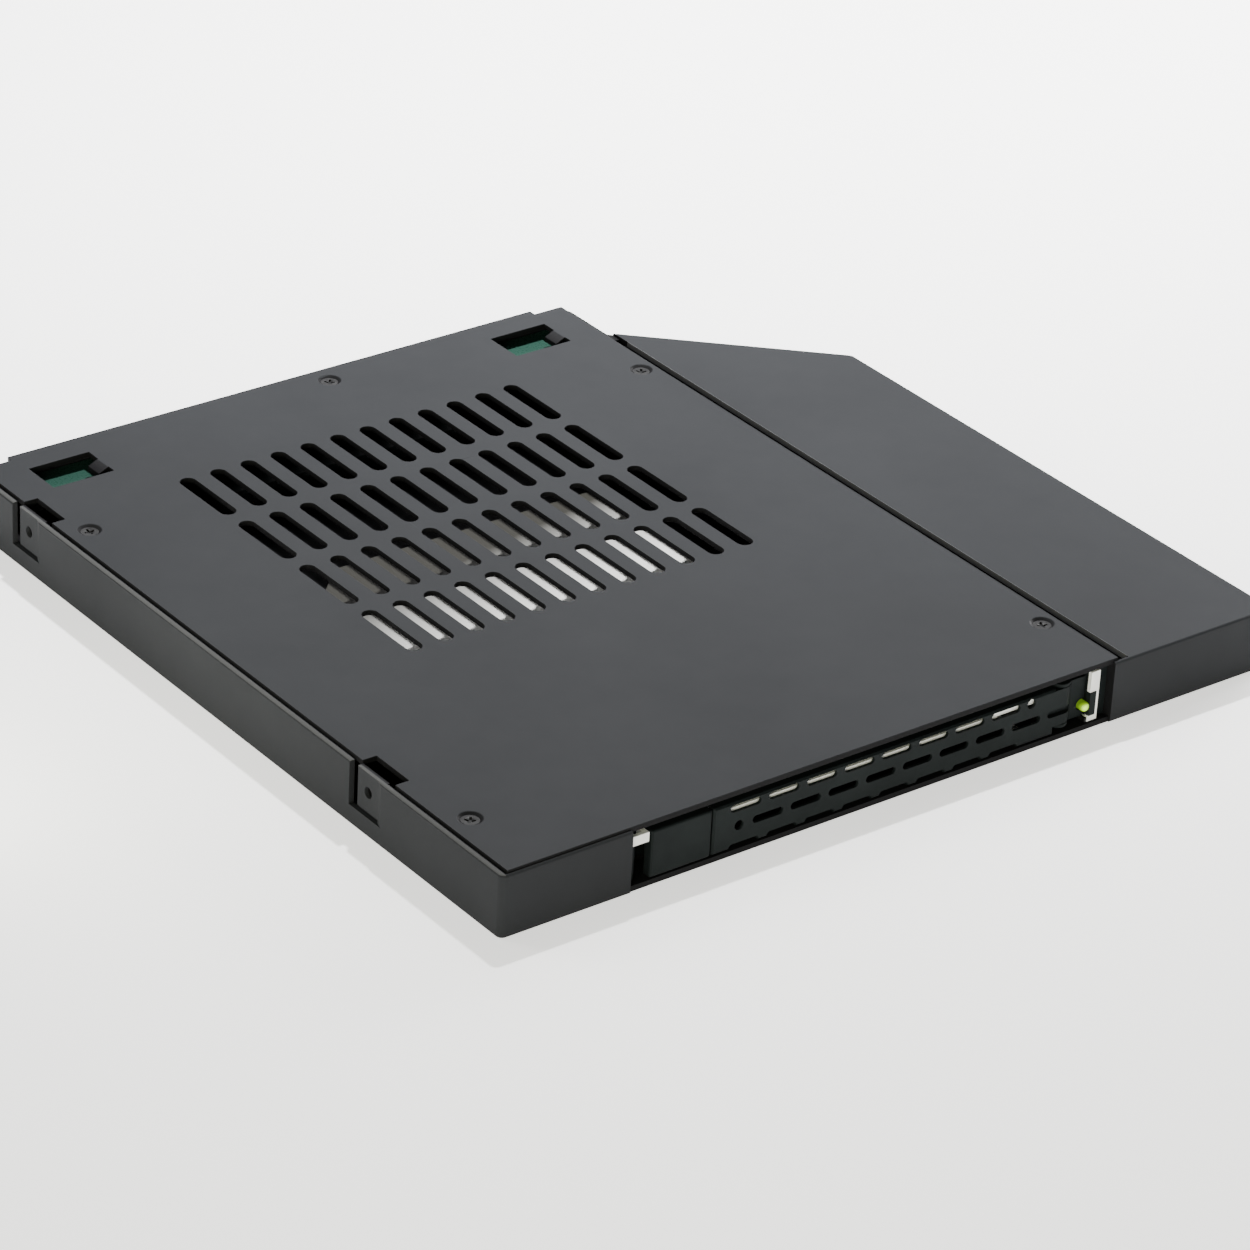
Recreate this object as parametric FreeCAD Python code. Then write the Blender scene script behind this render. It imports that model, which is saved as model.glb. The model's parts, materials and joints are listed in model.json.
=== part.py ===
import FreeCAD, Part
import math
import os

from FreeCAD import Vector

# Ultra-slim optical-bay caddy for one 2.5 inch drive.
# Millimetres, X to the right along the front, Y from the front face to the back, Z up.
# Pieces are laid out from the housing's front left bottom corner; the export moves
# the origin to the middle of the bottom.

# Drive that the tray takes
DRIVE_WIDTH = 69.85
DRIVE_LENGTH = 100.0
DRIVE_HEIGHT = 7.0
DRIVE_HOLE_HEIGHT = 3.0
DRIVE_REAR_HOLE = 14.0
DRIVE_FRONT_HOLE = 9.4

# Sheet thicknesses
HOUSING_SHEET = 0.8
COVER_SHEET = 0.8
TRAY_SHEET = 0.6

# Clearances
RUN_CLEARANCE = 0.2
DRIVE_SIDE_CLEARANCE = 0.25
DRIVE_TOP_CLEARANCE = 0.1
PIVOT_CLEARANCE = 0.05
SEAT_CLEARANCE = 0.02

# Housing across the front
LEFT_BLOCK_WIDTH = 20.0
LEFT_RAIL_WIDTH = 2.2
PIPE_WIDTH = 2.0
PIPE_GAP = 0.2
RIGHT_RAIL_WIDTH = 3.3
MOUTH_MARGIN = 2.0
WING_WIDTH = 26.35

# Housing from front to back
FRONT_ZONE = 8.4
DOCK_ZONE = 15.8
WING_SETBACK = 9.9
SLANT_RUN = 24.8

# Housing edges
WING_DROP = 0.4
WING_GROOVE = 0.6
FRONT_LIP = 0.45
CORNER_RADIUS = 1.0
EDGE_RADIUS = 0.35
MOUTH_SETBACK = 0.4
RETURN_DEPTH = 4.0

# Side tongues with their threaded holes
SIDE_HOLE_FRONT = 29.2
SIDE_HOLE_SPACING = 81.8
SIDE_HOLE_HEIGHT = 6.2
SIDE_HOLE_RADIUS = 0.8
SIDE_COLLAR_RADIUS = 1.5
SIDE_COLLAR_LENGTH = 0.9
TONGUE_INSET = 0.3
TONGUE_JOG = 1.0
TONGUE_FRONT = 3.2
TONGUE_REAR = 2.3
TONGUE_DROP = 2.9
TONGUE_GAP_REAR = 1.5
TONGUE_GAP_BELOW = 0.5

# Top cover
COVER_GAP_LEFT = 0.3
COVER_GAP_RIGHT = 1.2
COVER_FRONT = 0.5
COVER_LIP = 1.1
COVER_LIP_INSET = 4.9
VENT_COLUMNS = 12
VENT_ROWS = 4
VENT_LENGTH = 12.3
VENT_WIDTH = 2.4
VENT_WEB_ACROSS = 2.6
VENT_WEB_ALONG = 2.5
VENT_FROM_REAR = 45.4
RELIEF_WIDTH = 2.1
RELIEF_FRONT = 4.7
RELIEF_REAR = 2.5
WINDOW_LENGTH = 9.7
WINDOW_DEPTH = 6.6
WINDOW_INSET = 5.6
WINDOW_SETBACK = 3.4
CLAMP_LENGTH = 1.75
CLAMP_WIDTH = 2.8
CLAMP_OFFSET = 1.4
CLAMP_ANGLE = 25.0

# Cover screws and the posts under them
SCREW_HEAD_RADIUS = 1.7
SCREW_HEAD_HEIGHT = 0.7
SCREW_SINK = 0.3
SCREW_SHANK_RADIUS = 0.8
SCREW_LENGTH = 4.0
SCREW_CROSS_LENGTH = 1.7
SCREW_CROSS_WIDTH = 0.35
SCREW_CROSS_DEPTH = 0.3
SCREW_LEFT = 4.4
SCREW_FRONT = 13.0
SCREW_FROM_REAR = 23.0
SCREW_BACK_ACROSS = 57.5
POST_RADIUS = 1.5
POST_BORE_RADIUS = 0.9
POST_FOOT_RADIUS = 1.1

# Guide rails
RAIL_FRONT = 1.5
RAIL_PAST_DRIVE = 3.6
RAIL_LEAD_IN = 0.8
PEG_RADIUS = 0.8
PEG_MARGIN = 8.0

# Backplane board
BOARD_HEIGHT = 5.35
BOARD_THICKNESS = 1.0
BOARD_PAST_DRIVE = 4.6
BOARD_REAR_GAP = 0.6
BOARD_LEFT_GAP = 6.0
BOARD_RIGHT_GAP = 1.8
BOARD_HOLE_RADIUS = 1.1
BOARD_HOLE_LEFT = 4.75
BOARD_HOLE_RIGHT = 22.0
BOARD_HOLE_EDGE = 2.3
BOARD_POST_RADIUS = 1.7
BOARD_SCREW_HEAD_RADIUS = 1.6
BOARD_SCREW_HEAD_HEIGHT = 0.8
BOARD_SCREW_LENGTH = 3.0
CAPACITOR_LENGTH = 2.0
CAPACITOR_WIDTH = 1.2
CAPACITOR_HEIGHT = 1.1
CAPACITOR_COUNT = 4
CAPACITOR_SPACING = 3.5
LED_WIDTH = 1.6
LED_DEPTH = 1.4
LED_HEIGHT = 2.65
LED_LENS_RADIUS = 0.5
LED_LENS_LENGTH = 0.25
LED_LENS_DROP = 2.15

# Drive socket
SOCKET_INSET = 4.0
SOCKET_WIDTH = 42.0
SOCKET_REACH = 4.4
SOCKET_FOOT = 4.5
SOCKET_BELOW_BOARD = 3.55
SOCKET_ABOVE_BOARD = 0.05
SLOT_DEPTH = 4.5
SLOT_HEIGHT = 1.3
SLOT_KEY = 1.1
SLOT_MARGIN = 2.6
SOCKET_LEAD_IN = 0.4
SIGNAL_SLOT = 10.4
POWER_SLOT = 20.6
CONTACT_PITCH = 1.27
CONTACT_WIDTH = 0.6
CONTACT_THICKNESS = 0.25
CONTACT_LENGTH = 3.5
SIGNAL_CONTACTS = 7
POWER_CONTACTS = 15

# Host connector
HOST_LEFT = 10.0
HOST_WIDTH = 24.0
HOST_HEIGHT = 3.5
HOST_LENGTH = 7.9
HOST_WALL = 0.75
HOST_CAVITY = 4.4
HOST_TONGUE = 0.9
HOST_SIGNAL = 9.6
HOST_POWER = 8.4
HOST_PAST_WALL = 0.9
HOST_POWER_CONTACTS = 6
HOST_CUT_GAP = 0.2

# Tray pan
FRONT_RECESS = 0.4
TRAY_FLOOR_FRONT = 3.6
TRAY_SHORT_OF_DRIVE = 6.5
TRAY_WALL_HEIGHT = 7.2
TRAY_WALL_FRONT = 8.0
PANEL_SHORT_OF_DRIVE = 21.2
PANEL_RIGHT = 13.55
PANEL_CHAMFER = 5.5
PANEL_SLOT_FRONT = 20.0
LEFT_ARM_WIDTH = 6.6
RIGHT_ARM_WIDTH = 6.35
CROSSBAR_GAP = 0.15
CROSSBAR_HEIGHT = 1.8
CROSSBAR_TOP = 1.47
CROSSBAR_POST = 1.6
CROSSBAR_END = 7.0
CROSSBAR_END_RISE = 0.52
CROSSBAR_END_HEIGHT = 0.75
CROSSBAR_POST_GAP = 0.6
BEND_RADIUS = 0.15
AIR_CUT_REAR = 9.0
STOP_TAB_HEIGHT = 1.4
STOP_TAB_DROP = 0.4
STOP_TAB_GAP = 0.2
FLANGE_LEFT = 1.95
FLANGE_RIGHT = 1.5
FLANGE_TOP_GAP = 0.3
FLANGE_NOTCH_GAP = 0.3

# Drive pins in the tray's walls
PIN_RADIUS = 1.35
PIN_REACH = 1.3
PIN_SHANK_RADIUS = 0.9
PIN_BEVEL = 0.3

# Tray front: button, handle and their blocks
FACE_TOP_GAP = 0.9
BUTTON_GAP = 0.3
BUTTON_WIDTH = 9.5
BUTTON_THICKNESS = 1.5
BUTTON_EDGE = 0.3
BUTTON_STEM_RADIUS = 1.8
BUTTON_STEM_LENGTH = 4.5
BUTTON_TRAVEL = 1.2
STEM_CLEARANCE = 0.15
LATCH_BLOCK_FRONT = 4.8
LATCH_BLOCK_WIDTH = 12.2
BLOCK_DRIVE_GAP = 0.4
BLOCK_TOP_GAP = 0.5
BLOCK_CHAMFER = 0.5
SPRING_THICKNESS = 0.25
SPRING_WIDTH = 3.0
SPRING_SPAN = 2.0
SPRING_GAP = 0.1
HANDLE_THICKNESS = 1.3
HANDLE_RIM = 0.3
HANDLE_END_RIM = 1.9
HANDLE_BELOW_FLOOR = 0.6
HANDLE_EDGE = 0.25
HOOK_WIDTH = 1.4
HOOK_REACH = 2.4
HOOK_HEIGHT = 3.2
HOOK_LIP = 0.3
HOOK_INSET = 0.1
PIVOT_RADIUS = 0.6
PIVOT_FROM_WALL = 1.75
PIVOT_DEPTH = 1.5
KNUCKLE_GAP = 0.2
EAR_THICKNESS = 0.5
EAR_GAP = 0.1
GRILLE_PITCH = 6.15
GRILLE_SLOT = 4.9
GRILLE_HEIGHT = 1.1
GRILLE_MARGIN = 2.6
GRILLE_UPPER_PITCH = 2.7
GRILLE_LOWER_PITCH = 3.1
GRILLE_ROW_HEIGHT = 3.25
GRILLE_OFFSET = 3.7
GRILLE_DOT_RADIUS = 0.7
GRILLE_DOT_INSET = 1.5
GRILLE_WEB = 0.45
POCKET_DEPTH = 0.7
POCKET_LENGTH = 4.2

# Light pipe
LENS_HEIGHT = 2.0
LENS_ABOVE_FLOOR = 0.75
LENS_NOSE_RADIUS = 0.7
LENS_NOSE_LENGTH = 4.9
LENS_NOSE_OFFSET = 0.35
LENS_EDGE = 0.4
HOLDER_FRONT = 1.5
HOLDER_REAR = 5.0
HOLDER_HEIGHT = 6.0
HOLDER_RIGHT_GAP = 0.25
HOLDER_BRIDGE = 1.2
PIPE_SHORT_OF_BOARD = 0.4
PIPE_FOOT_LENGTH = 2.0
PIPE_FEET = 3

# Heights, from the housing's floor to the cover
floor_top = HOUSING_SHEET
tray_bottom = floor_top + RUN_CLEARANCE
tray_floor = tray_bottom + TRAY_SHEET
cover_bottom = tray_floor + DRIVE_HEIGHT + DRIVE_TOP_CLEARANCE
cover_top = cover_bottom + COVER_SHEET
wing_top = cover_top - WING_DROP
wall_top = tray_bottom + TRAY_WALL_HEIGHT

# Places across, from the left wall to the wing
mouth_left = LEFT_BLOCK_WIDTH
tray_left = mouth_left + LEFT_RAIL_WIDTH + RUN_CLEARANCE
wall_left = tray_left + TRAY_SHEET
drive_left = wall_left + DRIVE_SIDE_CLEARANCE
wall_right = drive_left + DRIVE_WIDTH + DRIVE_SIDE_CLEARANCE
pipe_left = wall_right + TRAY_SHEET + PIPE_GAP
tray_right = pipe_left + PIPE_WIDTH
rail_right = tray_right + RUN_CLEARANCE
mouth_right = rail_right + RIGHT_RAIL_WIDTH
body_right = mouth_right + MOUTH_MARGIN
wing_right = body_right + WING_WIDTH

# Places along, from the front face to the rear lip
drive_rear = FRONT_ZONE + DRIVE_LENGTH
rear_inner = drive_rear + DOCK_ZONE
rear_outer = rear_inner + HOUSING_SHEET
depth = rear_outer + COVER_LIP
slant_rear = rear_outer - WING_SETBACK
slant_front = slant_rear - SLANT_RUN
tray_rear = drive_rear - TRAY_SHORT_OF_DRIVE
rail_rear = drive_rear + RAIL_PAST_DRIVE

# Cover outline and screw places
cover_left = HOUSING_SHEET + COVER_GAP_LEFT
cover_right = body_right - COVER_GAP_RIGHT
screw_right = rail_right + RIGHT_RAIL_WIDTH / 2
post_back = rear_inner - POST_RADIUS - SEAT_CLEARANCE
screw_rear = rear_outer - SCREW_FROM_REAR
post_places = [(SCREW_LEFT, SCREW_FRONT), (SCREW_LEFT, screw_rear), (SCREW_BACK_ACROSS, post_back)]
rail_screw_places = [(screw_right, SCREW_FRONT), (screw_right, screw_rear)]
side_holes = [SIDE_HOLE_FRONT, SIDE_HOLE_FRONT + SIDE_HOLE_SPACING]

# Board outline
board_bottom = floor_top + BOARD_HEIGHT
board_top = board_bottom + BOARD_THICKNESS
board_front = drive_rear + BOARD_PAST_DRIVE
board_rear = rear_inner - BOARD_REAR_GAP
board_left = HOUSING_SHEET + BOARD_LEFT_GAP
board_right = body_right - BOARD_RIGHT_GAP

# Drive socket
socket_left = drive_left + SOCKET_INSET
socket_front = drive_rear - SOCKET_REACH
socket_bottom = board_bottom - SOCKET_BELOW_BOARD
socket_top = board_top + SOCKET_ABOVE_BOARD
slot_bottom = (socket_bottom + socket_top - SLOT_HEIGHT - SLOT_KEY) / 2
board_holes = [
    (socket_left - BOARD_HOLE_LEFT, board_front + BOARD_HOLE_EDGE),
    (board_right - BOARD_HOLE_RIGHT, (board_front + board_rear) / 2),
]
signal_left = socket_left + SLOT_MARGIN
power_left = socket_left + SOCKET_WIDTH - SLOT_MARGIN - POWER_SLOT

# Host connector
host_rear = rear_outer + HOST_PAST_WALL
host_front = host_rear - HOST_LENGTH
host_bottom = board_bottom - HOST_HEIGHT
host_tongue_bottom = host_bottom + (HOST_HEIGHT - HOST_TONGUE) / 2
host_tongue_left = HOST_LEFT + HOST_WALL * 2
host_power_left = HOST_LEFT + HOST_WIDTH - HOST_WALL * 2 - HOST_POWER

# Tray front
face_top = cover_bottom - FACE_TOP_GAP
face_bottom = tray_floor - HANDLE_BELOW_FLOOR
button_left = wall_left + BUTTON_GAP
button_right = button_left + BUTTON_WIDTH
button_back = FRONT_RECESS + BUTTON_THICKNESS
button_middle = (button_left + button_right) / 2
face_middle = (face_top + face_bottom) / 2
block_rear = FRONT_ZONE - BLOCK_DRIVE_GAP
block_top = wall_top - BLOCK_TOP_GAP
handle_left = button_right + BUTTON_GAP
handle_back = FRONT_RECESS + HANDLE_THICKNESS
pivot_across = wall_right - PIVOT_FROM_WALL
pivot_back = FRONT_RECESS + PIVOT_DEPTH
knuckle_left = pivot_across - PIVOT_DEPTH - KNUCKLE_GAP
ear_low = tray_floor + EAR_THICKNESS
ear_high = wall_top - EAR_THICKNESS
handle_pocket_right = knuckle_left - PIVOT_DEPTH - 2 * BUTTON_GAP
crossbar_front = FRONT_RECESS + GRILLE_WEB + CROSSBAR_GAP
crossbar_post_front = handle_back + CROSSBAR_POST_GAP
crossbar_left = handle_left + HANDLE_END_RIM + BUTTON_GAP
crossbar_right = handle_pocket_right - 2 * BUTTON_GAP
crossbar_post_right = pivot_across - PIVOT_DEPTH - BUTTON_GAP
grille_left = handle_left + GRILLE_MARGIN
grille_count = int((knuckle_left - grille_left) / GRILLE_PITCH)
grille_middle = face_bottom + GRILLE_ROW_HEIGHT
lens_bottom = tray_floor + LENS_ABOVE_FLOOR
lens_top = lens_bottom + LENS_HEIGHT
lens_middle = (lens_bottom + lens_top) / 2
pipe_rear = board_front - PIPE_SHORT_OF_BOARD
pipe_middle = pipe_left + PIPE_WIDTH / 2
lens_across = pipe_middle + LENS_NOSE_OFFSET
drive_holes = [FRONT_ZONE + DRIVE_FRONT_HOLE, drive_rear - DRIVE_REAR_HOLE]
drive_hole_height = tray_floor + DRIVE_HOLE_HEIGHT

# Amount by which a cutting shape passes the face that it cuts
PAST = 1.0

X_AXIS = Vector(1, 0, 0)
Y_AXIS = Vector(0, 1, 0)
Z_AXIS = Vector(0, 0, 1)


def block(x0, x1, y0, y1, z0, z1):
    """A box between two corners."""
    return Part.makeBox(x1 - x0, y1 - y0, z1 - z0, Vector(x0, y0, z0))


def upright(x, y, z0, z1, radius):
    """A round bar along Z."""
    return Part.makeCylinder(radius, z1 - z0, Vector(x, y, z0), Z_AXIS)


def prism(points, z0, z1):
    """An outline in plan, raised from z0 to z1."""
    corners = [Vector(x, y, z0) for x, y in points]
    outline = Part.makePolygon(corners + corners[:1])
    return Part.Face(outline).extrude(Vector(0, 0, z1 - z0))


def slot_along(x, y0, y1, z0, z1, width):
    """A round-ended slot in plan, long along Y."""
    radius = width / 2
    middle = block(x - radius, x + radius, y0 + radius, y1 - radius, z0, z1)
    front = upright(x, y0 + radius, z0, z1, radius)
    rear = upright(x, y1 - radius, z0, z1, radius)
    return middle.fuse([front, rear]).removeSplitter()


def slot_across(x0, x1, y0, y1, z, height):
    """A round-ended slot in a front face, long along X."""
    radius = height / 2
    middle = block(x0 + radius, x1 - radius, y0, y1, z - radius, z + radius)
    left = Part.makeCylinder(radius, y1 - y0, Vector(x0 + radius, y0, z), Y_AXIS)
    right = Part.makeCylinder(radius, y1 - y0, Vector(x1 - radius, y0, z), Y_AXIS)
    return middle.fuse([left, right]).removeSplitter()


def upright_edges(shape):
    """The shape's straight edges along Z."""
    return [e for e in shape.Edges if abs(e.Vertexes[0].Z - e.Vertexes[-1].Z) > EDGE_RADIUS]


def edges_at_height(shape, z):
    """The shape's edges that lie at one height."""
    boxes = [(edge, edge.BoundBox) for edge in shape.Edges]
    return [edge for edge, box in boxes if max(abs(box.ZMin - z), abs(box.ZMax - z)) < SEAT_CLEARANCE]


def edges_at_front(shape, y):
    """The shape's edges that lie in one plane across Y."""
    boxes = [(edge, edge.BoundBox) for edge in shape.Edges]
    return [edge for edge, box in boxes if max(abs(box.YMin - y), abs(box.YMax - y)) < SEAT_CLEARANCE]


def housing_outline(inset):
    """Plan of the housing's walls, moved in by a distance on every side."""
    turn = inset * (math.hypot(WING_WIDTH, SLANT_RUN) - SLANT_RUN) / WING_WIDTH
    return [
        (inset, inset),
        (wing_right - inset, inset),
        (wing_right - inset, slant_front - turn),
        (body_right - inset, slant_rear - turn),
        (body_right - inset, rear_outer - inset),
        (inset, rear_outer - inset),
    ]


def side_tongue(hole):
    """A tongue of the left wall with its collared, threaded hole."""
    inner = TONGUE_INSET + HOUSING_SHEET
    low = SIDE_HOLE_HEIGHT - TONGUE_DROP
    plate = block(TONGUE_INSET, inner, hole - TONGUE_FRONT - TONGUE_INSET, hole + TONGUE_REAR, low, wing_top)
    centre = Vector(0, hole, SIDE_HOLE_HEIGHT)
    collar = Part.makeCylinder(SIDE_COLLAR_RADIUS, inner + SIDE_COLLAR_LENGTH, centre, X_AXIS)
    inside = block(inner, inner + SIDE_COLLAR_LENGTH + PAST, 0, depth, 0, cover_top)
    return plate.fuse(collar.common(inside))


def tongue_opening(hole):
    """The cut in the left wall around a tongue, slanted where the tongue leaves the wall."""
    front = hole - TONGUE_FRONT
    rear = hole + TONGUE_REAR + TONGUE_GAP_REAR
    inner = HOUSING_SHEET + SEAT_CLEARANCE
    return prism([
        (-PAST, front),
        (0, front),
        (TONGUE_INSET, front + TONGUE_JOG),
        (inner, front + TONGUE_JOG),
        (inner, rear),
        (-PAST, rear),
    ], SIDE_HOLE_HEIGHT - TONGUE_DROP - TONGUE_GAP_BELOW, cover_top)


def lower_housing():
    """Formed steel shell: floor, outer walls, front left block and wing."""
    shell = prism(housing_outline(0), 0, wing_top)
    shell = shell.makeFillet(CORNER_RADIUS, upright_edges(shell))
    shell = shell.makeFillet(EDGE_RADIUS, edges_at_height(shell, wing_top) + edges_at_height(shell, 0))
    hollow = prism(housing_outline(HOUSING_SHEET), floor_top, wing_top - HOUSING_SHEET)
    inner_right = body_right - HOUSING_SHEET
    wing_rear = slant_rear - 2 * HOUSING_SHEET - WING_GROOVE
    top = block(HOUSING_SHEET, inner_right, HOUSING_SHEET, rear_inner, floor_top, cover_top)
    groove_right = body_right + WING_GROOVE
    wing_edge = block(inner_right, groove_right, HOUSING_SHEET, wing_rear, floor_top, cover_top)
    rabbet = block(HOUSING_SHEET, groove_right, FRONT_LIP, depth, cover_bottom, cover_top)
    mouth = block(mouth_left, mouth_right, -PAST, RETURN_DEPTH, floor_top, cover_top)
    sill = block(mouth_left, mouth_right, -PAST, MOUTH_SETBACK, -PAST, cover_top)
    host = block(HOST_LEFT - HOST_CUT_GAP, HOST_LEFT + HOST_WIDTH + HOST_CUT_GAP, rear_inner - PAST, depth,
                 host_bottom - HOST_CUT_GAP, board_bottom + HOST_CUT_GAP)
    shell = shell.cut([hollow, top, wing_edge, rabbet, mouth, sill, host])
    return_left = mouth_left - HOUSING_SHEET
    left_return = block(return_left, mouth_left, FRONT_LIP, RETURN_DEPTH, floor_top / 2, cover_bottom)
    right_return = left_return.translated(Vector(mouth_right - mouth_left + HOUSING_SHEET, 0, 0))
    shell = shell.fuse([left_return, right_return])
    for hole in side_holes:
        shell = shell.cut(tongue_opening(hole))
        shell = shell.fuse(side_tongue(hole))
        bore = Vector(-PAST, hole, SIDE_HOLE_HEIGHT)
        shell = shell.cut(Part.makeCylinder(SIDE_HOLE_RADIUS, POST_RADIUS * 2 + PAST, bore, X_AXIS))
    feet = [upright(x, y, -PAST, floor_top + PAST, POST_FOOT_RADIUS) for x, y in foot_places()]
    pegs = [upright(x, y, -PAST, floor_top + PAST, PEG_RADIUS) for x, y in rail_pegs()]
    return shell.cut(feet + pegs).removeSplitter()


def foot_places():
    """Where posts are pressed into the housing's floor."""
    return post_places + board_holes


def rail_pegs():
    """Where the rails' pegs go through the housing's floor."""
    rows = [RAIL_FRONT + PEG_MARGIN, (RAIL_FRONT + rail_rear) / 2, rail_rear - PEG_MARGIN]
    columns = [mouth_left + LEFT_RAIL_WIDTH / 2, rail_right + RIGHT_RAIL_WIDTH / 2]
    return [(x, y) for x in columns for y in rows]


def screw_cone(x, y, gap):
    """The countersink of one cover screw, or the cone of its head with no gap."""
    small = SCREW_SHANK_RADIUS + gap
    large = SCREW_HEAD_RADIUS + gap
    return Part.makeCone(small, large, SCREW_HEAD_HEIGHT, Vector(x, y, cover_top - SCREW_HEAD_HEIGHT), Z_AXIS)


def clamp_tongue(right, front):
    """A tongue bent down from the right edge of a rear window, over the board's corner."""
    run = CLAMP_LENGTH * math.cos(math.radians(CLAMP_ANGLE))
    drop = CLAMP_LENGTH * math.sin(math.radians(CLAMP_ANGLE))
    corners = [
        Vector(right, front, cover_top),
        Vector(right, front, cover_bottom),
        Vector(right - run, front, cover_bottom - drop),
        Vector(right - run, front, cover_top - drop),
    ]
    side = Part.Face(Part.makePolygon(corners + corners[:1]))
    return side.extrude(Vector(0, CLAMP_WIDTH, 0))


def vent_slots():
    """The field of vent slots, centred between the cover's sides."""
    across = VENT_WIDTH + VENT_WEB_ACROSS
    along = VENT_LENGTH + VENT_WEB_ALONG
    first_x = (cover_left + cover_right - (VENT_COLUMNS - 1) * across) / 2
    first_y = rear_outer - VENT_FROM_REAR - ((VENT_ROWS - 1) * along + VENT_LENGTH) / 2
    slots = []
    for column in range(VENT_COLUMNS):
        for row in range(VENT_ROWS):
            x = first_x + column * across
            y = first_y + row * along
            slots.append(slot_along(x, y, y + VENT_LENGTH, cover_bottom - PAST, cover_top + PAST, VENT_WIDTH))
    return slots


def top_cover():
    """Stamped cover with vents, rear windows, side reliefs and a rear lip."""
    plate = block(cover_left, cover_right, COVER_FRONT, rear_outer, cover_bottom, cover_top)
    lip_left = cover_left + COVER_LIP_INSET
    lip_right = cover_right - COVER_LIP_INSET
    lip = block(lip_left, lip_right, rear_inner, depth, cover_bottom, cover_top)
    cuts = vent_slots()
    window_rear = rear_outer - WINDOW_SETBACK
    window_front = window_rear - WINDOW_DEPTH
    windows = [cover_left + WINDOW_INSET, cover_right - WINDOW_INSET - WINDOW_LENGTH]
    for left in windows:
        cuts.append(block(left, left + WINDOW_LENGTH, window_front, window_rear, 0, cover_top + PAST))
    for hole in side_holes:
        front = hole - RELIEF_FRONT
        cuts.append(block(0, cover_left + RELIEF_WIDTH, front, hole + RELIEF_REAR, 0, cover_top + PAST))
    for x, y in post_places + rail_screw_places:
        cuts.append(upright(x, y, 0, cover_top, SCREW_SHANK_RADIUS + PIVOT_CLEARANCE))
        cuts.append(screw_cone(x, y, SEAT_CLEARANCE))
    cover = plate.fuse(lip).removeSplitter().cut(cuts)
    clamps = [clamp_tongue(left + WINDOW_LENGTH, window_front + CLAMP_OFFSET) for left in windows]
    return cover.fuse(clamps).removeSplitter()


def cross_recess(x, y, top):
    """The cross-shaped driver recess of one screw."""
    reach = SCREW_CROSS_LENGTH / 2
    half = SCREW_CROSS_WIDTH / 2
    one = block(x - reach, x + reach, y - half, y + half, top - SCREW_CROSS_DEPTH, top + PAST)
    other = block(x - half, x + half, y - reach, y + reach, top - SCREW_CROSS_DEPTH, top + PAST)
    return one.fuse(other)


def cover_screws():
    """The five countersunk cover screws, their heads sunk below the cover's top."""
    screws = []
    head_top = cover_top - SCREW_SINK
    for x, y in post_places + rail_screw_places:
        shank = upright(x, y, cover_top - SCREW_LENGTH, cover_top - SCREW_HEAD_HEIGHT, SCREW_SHANK_RADIUS)
        above = upright(x, y, head_top, cover_top + PAST, SCREW_HEAD_RADIUS + PAST)
        head = screw_cone(x, y, 0).cut(above)
        screws.append(shank.fuse(head).cut(cross_recess(x, y, head_top)))
    return Part.makeCompound(screws)


def post(x, y, top, radius):
    """A threaded post pressed into the housing's floor."""
    body = upright(x, y, floor_top, top, radius)
    foot = upright(x, y, 0, floor_top, POST_FOOT_RADIUS)
    bore = upright(x, y, top - SCREW_LENGTH, top + PAST, POST_BORE_RADIUS)
    return body.fuse(foot).cut(bore)


def cover_standoffs():
    """Posts under the cover's left and rear screws."""
    return Part.makeCompound([post(x, y, cover_bottom, POST_RADIUS) for x, y in post_places])


def rail_with_pegs(left, right, pegs, inner_edge):
    """One guide rail with staked pegs and a lead-in at its front inner edge."""
    rail = block(left, right, RAIL_FRONT, rail_rear, floor_top, cover_bottom)
    lead = [e for e in upright_edges(rail) if abs(e.BoundBox.XMin - inner_edge) < SEAT_CLEARANCE
            and abs(e.BoundBox.YMin - RAIL_FRONT) < SEAT_CLEARANCE]
    rail = rail.makeChamfer(RAIL_LEAD_IN, lead)
    return rail.fuse([upright(x, y, 0, floor_top, PEG_RADIUS) for x, y in pegs]).removeSplitter()


def left_guide_rail():
    """Rail on the left of the mouth."""
    pegs = [place for place in rail_pegs() if place[0] < rail_right]
    return rail_with_pegs(mouth_left, mouth_left + LEFT_RAIL_WIDTH, pegs, mouth_left + LEFT_RAIL_WIDTH)


def right_guide_rail():
    """Rail on the right of the mouth, which also takes two cover screws."""
    pegs = [place for place in rail_pegs() if place[0] > rail_right]
    rail = rail_with_pegs(rail_right, mouth_right, pegs, rail_right)
    bore_bottom = cover_top - SCREW_LENGTH - PIVOT_CLEARANCE
    bores = [upright(x, y, bore_bottom, cover_top, POST_BORE_RADIUS) for x, y in rail_screw_places]
    return rail.cut(bores)


def backplane_board():
    """Circuit board across the back."""
    board = block(board_left, board_right, board_front, board_rear, board_bottom, board_top)
    notch = upright(SCREW_BACK_ACROSS, post_back, 0, cover_top, POST_RADIUS + BOARD_REAR_GAP)
    holes = [upright(x, y, 0, cover_top, BOARD_HOLE_RADIUS) for x, y in board_holes]
    return board.cut([notch] + holes)


def board_standoffs():
    """Posts under the board."""
    return Part.makeCompound([post(x, y, board_bottom, BOARD_POST_RADIUS) for x, y in board_holes])


def board_screws():
    """Screws that hold the board on its posts."""
    screws = []
    for x, y in board_holes:
        top = board_top + BOARD_SCREW_HEAD_HEIGHT
        head = upright(x, y, board_top, top, BOARD_SCREW_HEAD_RADIUS)
        shank = upright(x, y, board_top - BOARD_SCREW_LENGTH, board_top, SCREW_SHANK_RADIUS)
        screws.append(head.fuse(shank).cut(cross_recess(x, y, top)))
    return Part.makeCompound(screws)


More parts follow.
